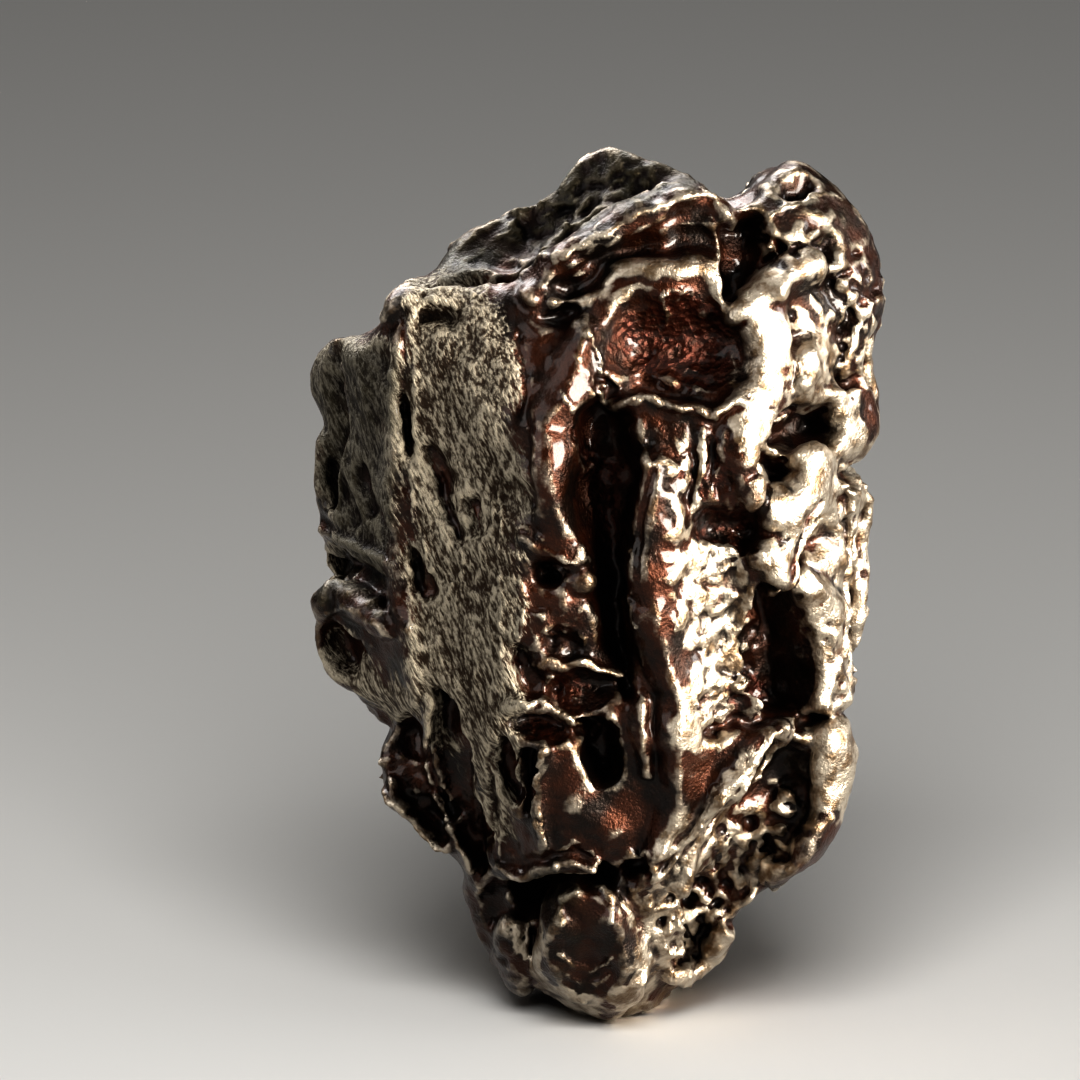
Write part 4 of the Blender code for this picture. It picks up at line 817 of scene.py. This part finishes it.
def reach(across, up, line):
    """How far points lie from a line, as a share of its half width, and on which side of it."""
    if len(line) == 1:
        x, y, width = line[0]
        return np.hypot(across - x, up - y) / width, np.ones_like(across)
    nearest, side = np.full(across.shape, np.inf), np.ones_like(across)
    for (x0, y0, w0), (x1, y1, w1) in zip(line, line[1:]):
        dx, dy = x1 - x0, y1 - y0
        t = np.clip(((across - x0) * dx + (up - y0) * dy) / (dx * dx + dy * dy), 0, 1)
        off_x, off_y = across - x0 - t * dx, up - y0 - t * dy
        share = np.hypot(off_x, off_y) / (w0 + t * (w1 - w0))
        closer = share < nearest
        nearest = np.where(closer, share, nearest)
        side = np.where(closer, dx * off_y - dy * off_x, side)
    return nearest, side


def height_of(across, up, marks):
    """The height marks give each point: the highest ridge there less the deepest hollow."""
    raised, sunk = np.zeros_like(across), np.zeros_like(across)
    for height, profile, line in marks:
        share, side = reach(across, up, line)
        inside = np.flatnonzero(share < 1)
        amount = np.abs(height) * profile(share[inside], side[inside])
        into = raised if height > 0 else sunk
        into[inside] = np.maximum(into[inside], amount)
    return raised - sunk


def press(obj, marks, azimuth_deg, elevation_deg, rise=0.0, stray=0.5, lean=0.6, grazing=(0.05, 0.3), ragged=0.0):
    """Presses marks into the side of the skin that an eye sees, in a direction that leans to that eye."""
    points, normals = read_skin(obj)
    right, up, eye = axes_of(azimuth_deg, elevation_deg)
    facing = normals @ eye
    seen = np.flatnonzero(facing > grazing[0])
    near = points[seen]
    across_of = near @ right + stray * (wobble(near, 4.5, 1) + 0.5 * wobble(near, 1.8, 2))
    up_of = near @ up + rise + stray * (wobble(near, 4.5, 3) + 0.5 * wobble(near, 1.8, 4))
    if ragged:
        across_of += 0.35 * wobble(near, 0.9, 5)
        up_of += 0.35 * wobble(near, 0.9, 6)
    height = height_of(across_of, up_of, marks) * step_up(facing[seen], *grazing)
    height *= np.clip(1 - ragged * (0.5 - wobble(near, 1.7, 7)), 0, 1.3)
    direction = normals[seen] + lean * eye
    direction /= np.linalg.norm(direction, axis=1)[:, None]
    points[seen] += direction * height[:, None]
    write_skin(obj, points)


def thumbprints(obj, seed, count, widths, depths):
    """Presses round hollows at random all over, shallower on the front, where they are placed."""
    points, normals = read_skin(obj)
    _, _, eye = axes_of(0.0, EYE_HEIGHT_DEG)
    chance = random.Random(seed)
    sunk = np.zeros(len(points))
    for _ in range(count):
        middle = points[chance.randrange(len(points))]
        width = chance.uniform(*widths)
        depth = chance.uniform(*depths)
        stretch = np.array([chance.uniform(0.7, 1.0) for _ in range(3)])
        share = np.linalg.norm((points - middle) * stretch, axis=1) / width
        sunk = np.maximum(sunk, depth * np.clip(1 - share**2, 0, 1))
    hidden = 1 - 0.6 * step_up(normals @ eye, 0.0, 0.3)
    write_skin(obj, points - normals * (sunk * hidden)[:, None])


def crowd_of_pits(seed):
    """Small pits at random in the places where they crowd, as marks."""
    chance = random.Random(seed)
    marks = []
    for across, up, spread, count, widths, depth in PITTED:
        for _ in range(count):
            angle, away = chance.uniform(0, math.tau), spread * math.sqrt(chance.random())
            width = chance.uniform(*widths)
            place = (across + away * math.cos(angle), up + away * math.sin(angle), width)
            marks.append((-depth * chance.uniform(0.6, 1.0), arch, (place,)))
    return marks


def pull_edge(obj, outward, along, line, band, rounds):
    """Moves the skin near the seen edge so that the edge follows a measured line of (along, out)."""
    points, _ = read_skin(obj)
    out, place = points @ outward, points @ along
    places = np.array([p for p, _ in line])
    wanted = np.array([o for _, o in line])
    edge = np.array([out[np.abs(place - p) < 0.8].max() for p in places])
    gap = np.interp(place, places, wanted - edge)
    close = step_up(out - np.interp(place, places, edge), -band, -0.3)
    beyond = np.maximum(places[0] - place, place - places[-1])
    close *= 1 - step_up(beyond, 0.0, 2.5)
    move = even_out(obj, (gap * close)[:, None], rounds)
    write_skin(obj, points + outward * move)


def fit_outline(obj, band, rounds):
    """Brings the outline seen from the front to the measured edges."""
    right, up, _ = axes_of(0.0, EYE_HEIGHT_DEG)
    upper = [(across, height - EYE_RISE) for across, height in UPPER_EDGE]
    pull_edge(obj, up, right, upper, band, rounds)
    pull_edge(obj, right, up, [(height - EYE_RISE, across) for height, across in RIGHT_EDGE], band, rounds)
    pull_edge(obj, -right, up, [(height - EYE_RISE, -across) for height, across in LEFT_EDGE], band, rounds)
    pull_edge(obj, -up, right, [(across, EYE_RISE - height) for across, height in LOWER_EDGE], band, rounds)


def shares(points, normals, marks):
    """The share of a finish at each point, from marks that the eye in front sees."""
    _, _, eye = axes_of(0.0, EYE_HEIGHT_DEG)
    across, up = front_view(points)
    for size, far, seed in ((5.0, 1.8, 31), (1.7, 0.9, 33), (0.8, 0.5, 35)):
        across = across + far * wobble(points, size, seed)
        up = up + far * wobble(points, size, seed + 1)
    return np.clip(height_of(across, up, marks), 0, 1) * step_up(normals @ eye, -0.1, 0.2)


def hidden_patches(points, normals, size, seed, low=-0.1):
    """Patches at random, of a size in mm, on the sides that the eye in front doesn't see: fewer if low is more."""
    _, _, eye = axes_of(0.0, EYE_HEIGHT_DEG)
    return (1 - step_up(normals @ eye, -0.2, 0.2)) * step_up(wobble(points, size, seed), low, low + 0.4)


def store(obj, name, values):
    """Keeps a value for each point on the mesh, for the material to read."""
    attribute = obj.data.attributes.new(name, "FLOAT", "POINT")
    attribute.data.foreach_set("value", values.astype(np.float32))


def press_macro(obj):
    """The broad forms, as the solid has them."""
    thumbprints(obj, 3, 46, (6.0, 11.0), (0.8, 2.2))
    press(obj, BACK_MARKS, 180.0, 0.0, stray=1.4)
    press(obj, LEFT_MARKS, -90.0, 0.0, stray=1.2)
    press(obj, RIGHT_MARKS, 90.0, 0.0, stray=1.2)
    press(obj, TOP_MARKS, 0.0, 90.0, stray=1.0)
    fit_outline(obj, 10.0, 60)
    press(obj, FRONT_HOLLOWS, 0.0, EYE_HEIGHT_DEG, EYE_RISE, stray=0.8)


def roughen(obj):
    """The small relief: broken facets and grains where the skin is rough, a net of flow lines on the left."""
    points, normals = read_skin(obj)
    matt = shares(points, normals, MATT)
    grainy = shares(points, normals, GRAINY)
    sleek = shares(points, normals, SLEEK)
    rugged = shares(points, normals, RUGGED)
    rugged = np.maximum(rugged, hidden_patches(points, normals, 9.0, 51))
    plain = (1 - 0.85 * sleek) * (1 - 0.8 * matt)
    height = 0.7 * wobble(points, 9.0, 20) + 0.3 * wobble(points, 3.5, 21)
    height += 0.30 * chips(points, 2.6, 1) * (0.5 * plain + 1.5 * rugged)
    height += 0.18 * chips(points, 1.3, 2) * (0.4 * plain + 1.6 * rugged)
    height += 0.20 * (grains(points, 1.1, 2) - 0.5) * (0.2 * plain + 1.2 * grainy)
    flow = points @ STREAK_FRAME
    height += 0.16 * wobble(points, 1.6, 22) * plain
    height += (0.20 * veins(flow, 1.6, 23) + 0.12 * veins(flow, 0.7, 24)) * matt
    write_skin(obj, points + normals * height[:, None])


def measure_skin(obj, coarse):
    """How deep each point lies under the smoothed lump, and how far it stands out of its near skin, in mm."""
    points, normals = read_skin(obj)
    tree = bvhtree.BVHTree.FromPolygons(
        [v.co for v in coarse.data.vertices], [p.vertices[:] for p in coarse.data.polygons]
    )
    depth = np.empty(len(points))
    for i, point in enumerate(points):
        place, outward, _, _ = tree.find_nearest(Vector(point) * MM)
        depth[i] = (place / MM - Vector(point)).dot(outward)
    near = even_out(obj, points, 14)
    proud = ((points - near) * normals).sum(axis=1)
    return points, normals, depth, proud


def smoothed_copy(obj):
    """A coarse, smooth copy of the lump, which depths are measured from."""
    copy = obj.copy()
    copy.data = obj.data.copy()
    bpy.context.collection.objects.link(copy)
    even_skin(copy, 1.2 * MM)
    points, _ = read_skin(copy)
    write_skin(copy, even_out(copy, points, 60))
    return copy


def thin_out(obj, triangles, front_share):
    """Brings the skin down to a number of triangles: the back to its share of them, then the front."""
    for side in (-1, 1):
        _, normals = read_skin(obj)
        _, _, eye = axes_of(0.0, EYE_HEIGHT_DEG)
        chosen = side * (normals @ eye) > 0
        group = obj.vertex_groups.new(name="thinned")
        group.add(np.flatnonzero(chosen).tolist(), 1.0, "REPLACE")
        total = sum(len(polygon.vertices) - 2 for polygon in obj.data.polygons)
        inside = sum(len(p.vertices) - 2 for p in obj.data.polygons if chosen[list(p.vertices)].all())
        kept = triangles if side > 0 else total - inside + triangles * (1 - front_share)
        apply_modifier(obj, "DECIMATE", ratio=kept / total, use_collapse_triangulate=True, vertex_group="thinned")
        obj.vertex_groups.clear()


def cut_foot(obj):
    """Cuts the toe flat where it stands."""
    bpy.ops.object.mode_set(mode="EDIT")
    bpy.ops.mesh.select_all(action="SELECT")
    bpy.ops.mesh.bisect(plane_co=(0, 0, 0), plane_no=(0, 0, 1), clear_inner=True, use_fill=True)
    bpy.ops.object.mode_set(mode="OBJECT")


def build_lump(sizes):
    """Models the whole lump and keeps on it what the material reads."""
    obj = build_block()
    apply_modifier(obj, "SUBSURF", levels=3, render_levels=3)
    even_skin(obj, sizes.skin_step * 1.6)
    press_macro(obj)
    even_skin(obj, sizes.skin_step)
    press(obj, FRONT_RIDGES, 0.0, EYE_HEIGHT_DEG, EYE_RISE)
    press(obj, KNOB_MARKS, 0.0, EYE_HEIGHT_DEG, EYE_RISE)
    thumbprints(obj, 8, 160, (2.0, 4.5), (0.3, 1.1))
    press(obj, FINE_HOLLOWS + tuple(crowd_of_pits(4)), 0.0, EYE_HEIGHT_DEG, EYE_RISE, stray=0.3)
    roughen(obj)
    fit_outline(obj, 5.0, 20)
    press(obj, FOOT_MARKS, 0.0, -90.0, stray=0.0)
    even_skin(obj, sizes.skin_step)
    press(obj, FINE_RIDGES, 0.0, EYE_HEIGHT_DEG, EYE_RISE, 0.35, 0.3, (0.15, 0.5), 0.9)
    coarse = smoothed_copy(obj)
    points, normals, depth, proud = measure_skin(obj, coarse)
    bpy.data.objects.remove(coarse, do_unlink=True)
    matt = np.maximum(shares(points, normals, MATT), 0.8 * hidden_patches(points, normals, 14.0, 52, 0.05))
    bare = np.maximum(shares(points, normals, BARE), 0.8 * hidden_patches(points, normals, 8.0, 53, 0.0))
    grainy = shares(points, normals, GRAINY)
    # The share of painted shade at each point, for the material.
    painted_shade = shares(points, normals, PAINTED_SHADE)
    thin_out(obj, sizes.triangles, FRONT_SHARE)
    cut_foot(obj)
    values = {"depth": depth, "proud": proud, "matt": matt, "bare": bare, "grainy": grainy, "painted_shade": painted_shade}
    carry_over(obj, points, values)
    obj.data.shade_smooth()
    return obj


def carry_over(obj, points, values):
    """Gives each point of the thinned mesh the values of the nearest point of the full one."""
    tree = kdtree.KDTree(len(points))
    for i, point in enumerate(points):
        tree.insert(Vector(point), i)
    tree.balance()
    nearest = np.array([tree.find(v.co / MM)[1] for v in obj.data.vertices])
    for name, value in values.items():
        store(obj, name, value[nearest])


# The finish.


def add_node(tree, kind, inputs=None, **settings):
    """Adds a node with its settings, and sets or links its inputs."""
    made = tree.nodes.new(kind)
    for name, value in settings.items():
        setattr(made, name, value)
    for name, value in (inputs or {}).items():
        if isinstance(value, bpy.types.NodeSocket):
            tree.links.new(value, made.inputs[name])
        else:
            made.inputs[name].default_value = value
    return made


OXIDE_METALLIC = 0.8
OXIDE_ROUGHNESS = 0.32
METAL_ROUGHNESS = 0.38
COAT_WEIGHT = 0.25
COAT_ROUGHNESS = 0.12
FINE_SHARE = 1.1
GRAIN_BUMP = 0.6
MIX_FACTOR, MIX_A, MIX_B, MIX_RESULT = 0, 6, 7, 2  # a colour Mix node's sockets, by their place


def weathered_iron(colours):
    """Nickel-iron that has rusted, was brushed and then lacquered.

    Brushing bared the high spots to grey metal, which gives broad bright glints. The rest keeps a glossy,
    nearly black red-brown oxide, which stays near black but for small sharp glints. On the left the brushing ran
    down the face and left dull streaks. Deep hollows, small pits and the painted-shade zones are painted near
    black as shade, olive on the raised spots of those zones.
    """
    material = bpy.data.materials.new("brushed nickel-iron with lacquered oxide")
    material.use_nodes = True
    tree = material.node_tree
    shader = tree.nodes["Principled BSDF"]
    place = add_node(tree, "ShaderNodeTexCoord").outputs["Object"]
    per_mm = 1 / MM

    def value_of(name):
        return add_node(tree, "ShaderNodeAttribute", attribute_name=name).outputs["Fac"]

    def calc(operation, a, b, c=0.0):
        return add_node(tree, "ShaderNodeMath", {0: a, 1: b, 2: c}, operation=operation).outputs[0]

    def ramp(value, low, high, to_low=0.0, to_high=1.0):
        inputs = {"Value": value, "From Min": low, "From Max": high, "To Min": to_low, "To Max": to_high}
        return add_node(tree, "ShaderNodeMapRange", inputs, interpolation_type="SMOOTHSTEP").outputs["Result"]

    def speckle(size_mm, detail=2.0, vector=place):
        inputs = {"Vector": vector, "Scale": per_mm / size_mm, "Detail": detail, "Roughness": 0.6}
        return add_node(tree, "ShaderNodeTexNoise", inputs).outputs["Fac"]

    def mix(share, a, b):
        inputs = {MIX_FACTOR: share, MIX_A: a, MIX_B: b}
        return add_node(tree, "ShaderNodeMix", inputs, data_type="RGBA").outputs[MIX_RESULT]

    depth, proud = value_of("depth"), value_of("proud")
    matt, bare, grainy, painted_shade = value_of("matt"), value_of("bare"), value_of("grainy"), value_of("painted_shade")
    matt = calc("MULTIPLY", matt, ramp(depth, 0.35, 1.1, 1.0, 0.1))
    turned = {"Vector": place, "Rotation": (0.0, math.radians(-STREAK_LEAN_DEG), 0.0), "Scale": (1.0, 1.0, 4.0)}
    streak_place = add_node(tree, "ShaderNodeMapping", turned, vector_type="TEXTURE").outputs["Vector"]
    streaks = ramp(speckle(0.36, 2.5, streak_place), 0.36, 0.68)
    clouds = speckle(3.5, 2.0, streak_place)
    matt = ramp(calc("MULTIPLY_ADD", streaks, 0.35, matt), 0.45, 0.95)
    patches = speckle(4.0, 3.0)
    mottle = speckle(1.0, 3.0)
    grit = speckle(0.35, 3.0)

    # How far the brush has bared the metal: on what stands out, less in what lies deep.
    fine = ramp(proud, -0.10, 0.12)
    sunk = ramp(depth, 0.6, 2.2)
    wear = calc("MULTIPLY_ADD", calc("SUBTRACT", fine, 0.5), FINE_SHARE, bare)
    wear = calc("MULTIPLY_ADD", ramp(proud, 0.12, 0.34), 0.4, wear)
    wear = calc("MULTIPLY_ADD", sunk, -0.6, wear)
    wear = calc("MULTIPLY_ADD", calc("SUBTRACT", mottle, 0.5), 0.6, wear)
    bared = ramp(wear, 0.35, 0.85)
    pitted = ramp(proud, -0.08, -0.32)

    light_line = calc("MULTIPLY_ADD", proud, 2.6, calc("MULTIPLY", streaks, 0.7))
    light_line = calc("MULTIPLY_ADD", calc("SUBTRACT", grit, 0.5), 0.9, light_line)
    light_line = calc("MULTIPLY_ADD", calc("SUBTRACT", clouds, 0.5), 1.2, light_line)
    streaked = ramp(light_line, -0.10, 0.90)
    oxide = mix(ramp(patches, 0.35, 0.65), colours["oxide_black"], colours["oxide_red"])
    oxide = mix(ramp(calc("MULTIPLY", grainy, mottle), 0.3, 0.6), oxide, colours["rust"])
    metal = mix(ramp(speckle(2.2, 3.0), 0.4, 0.65), colours["metal"], colours["metal_tan"])
    dull = mix(streaked, colours["dull_dark"], colours["dull_light"])
    colour = mix(bared, oxide, metal)
    colour = mix(matt, colour, dull)
    # Painted shade: the deepest hollows are painted towards near black.
    colour = mix(calc("MULTIPLY", ramp(depth, 1.6, 4.0), 0.7), colour, colours["recess"])
    # Painted shade: small pits, where the skin lies below its neighbours, are painted towards near black.
    colour = mix(calc("MULTIPLY", pitted, 0.9), colour, colours["recess"])
    # Painted shade: in the painted-shade zones low spots are near black and raised spots olive.
    colour = mix(calc("MULTIPLY", painted_shade, 0.8), colour, mix(fine, colours["recess"], colours["tarnish"]))
    tree.links.new(colour, shader.inputs["Base Color"])

    brushed = ramp(streaked, 0.0, 1.0, 0.8, 0.3)
    metallic = ramp(bared, 0.0, 1.0, OXIDE_METALLIC, 1.0)
    metallic = calc("MULTIPLY_ADD", calc("SUBTRACT", brushed, metallic), matt, metallic)
    tree.links.new(metallic, shader.inputs["Metallic"])
    roughness = ramp(bared, 0.0, 1.0, OXIDE_ROUGHNESS, METAL_ROUGHNESS)
    roughness = calc("MULTIPLY_ADD", matt, 0.28, roughness)
    roughness = calc("MULTIPLY_ADD", mottle, 0.1, roughness)
    roughness = calc("MULTIPLY_ADD", pitted, 0.3, roughness)
    tree.links.new(roughness, shader.inputs["Roughness"])
    lacquer = calc("MULTIPLY", ramp(calc("MAXIMUM", matt, calc("MULTIPLY", painted_shade, 0.8)), 0.0, 1.0, 1.0, 0.1), COAT_WEIGHT)
    tree.links.new(lacquer, shader.inputs["Coat Weight"])
    shader.inputs["Coat Roughness"].default_value = COAT_ROUGHNESS

    pits = add_node(tree, "ShaderNodeTexVoronoi", {"Vector": place, "Scale": per_mm / 0.8}).outputs["Distance"]
    relief = calc("MULTIPLY", grit, GRAIN_BUMP)
    relief = calc("MULTIPLY_ADD", calc("MULTIPLY", streaks, matt), 0.5, relief)
    relief = calc("MULTIPLY_ADD", calc("MULTIPLY", pits, grainy), 1.0, relief)
    relief = calc("MULTIPLY_ADD", mottle, 0.5, relief)
    bump = add_node(tree, "ShaderNodeBump", {"Height": relief, "Strength": 0.8, "Distance": 0.3 * MM})
    tree.links.new(bump.outputs["Normal"], shader.inputs["Normal"])
    return material


# The studio.


def aim(obj, place, target):
    """Puts a camera or a light at a place, looking at a target."""
    obj.location = place
    obj.rotation_mode = "QUATERNION"
    obj.rotation_quaternion = (Vector(target) - Vector(place)).to_track_quat("-Z", "Y")


# Soft square lights round the lump: turned this far from the front, this high, this far off, this wide,
# how bright their face is, their colour, and the group that they light alone. The key makes the white
# glints, and the one over the front of the floor leaves the floor behind darker.
LIGHTS = (
    ("key", 56.0, 8.0, 0.5, 0.26, 60.0, "#FFFAF2", "lump"),
    ("fill", -62.0, 22.0, 0.6, 0.5, 3.0, "#FFFFFF", "lump"),
    ("rim_left", -140.0, 40.0, 0.6, 0.3, 12.0, "#FFFFFF", "lump"),
    ("behind", -175.0, 50.0, 0.6, 0.3, 14.0, "#FFFFFF", "lump"),
    ("rim_right", 105.0, 15.0, 0.6, 0.2, 18.0, "#FFFFFF", "lump"),
    ("overhead", 20.0, 72.0, 1.0, 0.9, 0.9, "#FFFFFF", ""),
    ("ground_light", 0.0, 40.0, 0.5, 0.3, 9.0, "#FFFFFF", "ground"),
)


def add_light(name, azimuth_deg, elevation_deg, away, size, radiance, colour, lit_alone):
    """A soft square light that the camera doesn't see."""
    _, _, out = axes_of(azimuth_deg, elevation_deg)
    light = bpy.data.objects.new(name, bpy.data.lights.new(name, "AREA"))
    bpy.context.scene.collection.objects.link(light)
    light.data.size = size
    light.data.energy = radiance * math.pi * size**2
    light.data.color = colour
    light.visible_camera = False
    if lit_alone:
        light.light_linking.receiver_collection = bpy.data.collections[lit_alone]
    aim(light, Vector(out) * away + LUMP_MIDDLE, LUMP_MIDDLE)


def plain_floor(colour):
    """A plain pale floor under the lump."""
    bpy.ops.object.select_all(action="DESELECT")
    bpy.ops.mesh.primitive_circle_add(vertices=96, radius=4.0, fill_type="NGON", location=(0, 0, -0.05 * MM))
    floor = bpy.context.object
    floor.name = "floor"
    bpy.ops.object.transform_apply()
    material = bpy.data.materials.new("pale matt floor")
    material.use_nodes = True
    shader = material.node_tree.nodes["Principled BSDF"]
    shader.inputs["Base Color"].default_value = (*colour, 1.0)
    shader.inputs["Roughness"].default_value = 0.9
    floor.data.materials.append(material)


def add_camera():
    right, up, eye = (Vector(axis) for axis in axes_of(0.0, EYE_HEIGHT_DEG))
    across, height = PICTURE_MIDDLE
    middle = (right * across + up * (height - EYE_RISE)) * MM
    camera = bpy.data.objects.new("camera", bpy.data.cameras.new("camera"))
    bpy.context.scene.collection.objects.link(camera)
    camera.data.sensor_width = 36.0
    camera.data.lens = camera.data.sensor_width * CAMERA_AWAY / (PICTURE_SIDE * MM)
    camera.data.clip_end = 4 * CAMERA_AWAY
    aim(camera, middle + eye * CAMERA_AWAY, middle)
    bpy.context.scene.camera = camera


def set_world(shade, backdrop):
    """Dim even light all round, with a pale backdrop where only the camera looks."""
    world = bpy.data.worlds.new("studio")
    world.use_nodes = True
    tree = world.node_tree
    dim = tree.nodes["Background"]
    dim.inputs["Color"].default_value = (*shade, 1.0)
    pale = add_node(tree, "ShaderNodeBackground", {"Color": (*backdrop, 1.0)})
    seen = add_node(tree, "ShaderNodeLightPath").outputs["Is Camera Ray"]
    both = add_node(tree, "ShaderNodeMixShader", {0: seen, 1: dim.outputs[0], 2: pale.outputs[0]})
    tree.links.new(both.outputs[0], tree.nodes["World Output"].inputs["Surface"])
    bpy.context.scene.world = world


# What a user would change, and the steps as operators.


def colour_property(name, description, hex_colour):
    return bpy.props.FloatVectorProperty(
        name=name, description=description, subtype="COLOR", size=3, min=0.0, max=1.0, default=linear(hex_colour)
    )


class MeteoriteSizes(bpy.types.PropertyGroup):
    """How finely the lump is made."""

    skin_step: bpy.props.FloatProperty(
        name="Skin step", description="Spacing of the points that are pressed", unit="LENGTH", default=0.3 * MM
    )
    triangles: bpy.props.IntProperty(
        name="Triangles", description="Triangles left in the finished lump", default=198000, min=1000
    )


class MeteoriteColours(bpy.types.PropertyGroup):
    """The colours of the iron's finish."""

    oxide_red: colour_property("Red oxide", "Thin glossy oxide", "#331808")
    oxide_black: colour_property("Black oxide", "Thick oxide in the hollows", "#140B05")
    rust: colour_property("Rust", "Grains of fresh rust", "#36170B")
    metal: colour_property("Bared metal", "Metal on the high spots", "#A69C8D")
    metal_tan: colour_property("Stained metal", "Metal with a thin brown film", "#635341")
    dull_light: colour_property("Dull streaks", "Brushed streaks on the left face", "#958C7B")
    dull_dark: colour_property("Between streaks", "Oxide left between the streaks", "#2C2015")
    # Painted shade: olive for the raised spots of the painted-shade zones.
    tarnish: colour_property("Tarnish", "High spots of the dark places", "#2E2A1D")
    # Painted shade: near black for the deepest hollows, the small pits and the low spots of the painted-shade zones.
    recess: colour_property("Recesses", "What lies deepest", "#0A0605")


class StudioSettings(bpy.types.PropertyGroup):
    """The light on the lump."""

    light_power: bpy.props.FloatProperty(
        name="Light", description="Scales the power of every light", default=1.0, min=0.0, subtype="FACTOR"
    )
    floor: colour_property("Floor", "Colour of the floor", "#D8D6D2")


class METEORITE_OT_lump(bpy.types.Operator):
    """Models the iron lump and gives it its finish"""

    bl_idname = "meteorite.lump"
    bl_label = "Iron lump"

    def execute(self, context):
        lump_object = build_lump(context.scene.meteorite_sizes)
        colours = context.scene.meteorite_colours
        finish = {name: (*getattr(colours, name), 1.0) for name in MeteoriteColours.__annotations__}
        lump_object.data.materials.clear()
        lump_object.data.materials.append(weathered_iron(finish))
        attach(lump_object, "root")
        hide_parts("meteorite")
        return {"FINISHED"}


class METEORITE_OT_studio(bpy.types.Operator):
    """Adds the floor, the lights, the backdrop and the camera"""

    bl_idname = "meteorite.studio"
    bl_label = "Studio"

    def execute(self, context):
        studio = context.scene.meteorite_studio
        plain_floor(studio.floor)
        for group, name in (("lump", "iron_lump"), ("ground", "floor")):
            bpy.data.collections.new(group).objects.link(bpy.data.objects[name])
        set_world(linear("#1A1A1B"), linear("#D8D6D2"))
        for name, azimuth, elevation, away, size, radiance, colour, lit_alone in LIGHTS:
            radiance *= studio.light_power
            add_light(name, azimuth, elevation, away, size, radiance, linear(colour), lit_alone)
        add_camera()
        context.scene.view_settings.view_transform = "Standard"
        context.scene.view_settings.look = "High Contrast"
        return {"FINISHED"}


class METEORITE_PT_panel(bpy.types.Panel):
    """Lists the steps and what can be changed"""

    bl_idname = "METEORITE_PT_panel"
    bl_label = "Meteorite"
    bl_space_type = "VIEW_3D"
    bl_region_type = "UI"
    bl_category = "Meteorite"

    def draw(self, context):
        for group in (context.scene.meteorite_sizes, context.scene.meteorite_colours, context.scene.meteorite_studio):
            for name in type(group).__annotations__:
                self.layout.prop(group, name)
        for operator in (METEORITE_OT_lump, METEORITE_OT_studio):
            self.layout.operator(operator.bl_idname)


GROUPS = {
    "meteorite_sizes": MeteoriteSizes,
    "meteorite_colours": MeteoriteColours,
    "meteorite_studio": StudioSettings,
}
CLASSES = (*GROUPS.values(), METEORITE_OT_lump, METEORITE_OT_studio, METEORITE_PT_panel)


def register():
    for cls in CLASSES:
        bpy.utils.register_class(cls)
    for name, group in GROUPS.items():
        setattr(bpy.types.Scene, name, bpy.props.PointerProperty(type=group))


def unregister():
    for name in GROUPS:
        delattr(bpy.types.Scene, name)
    for cls in reversed(CLASSES):
        bpy.utils.unregister_class(cls)


def main():
    register()
    bpy.ops.meteorite.lump()
    bpy.ops.meteorite.studio()


if __name__ == "__main__":
    main()
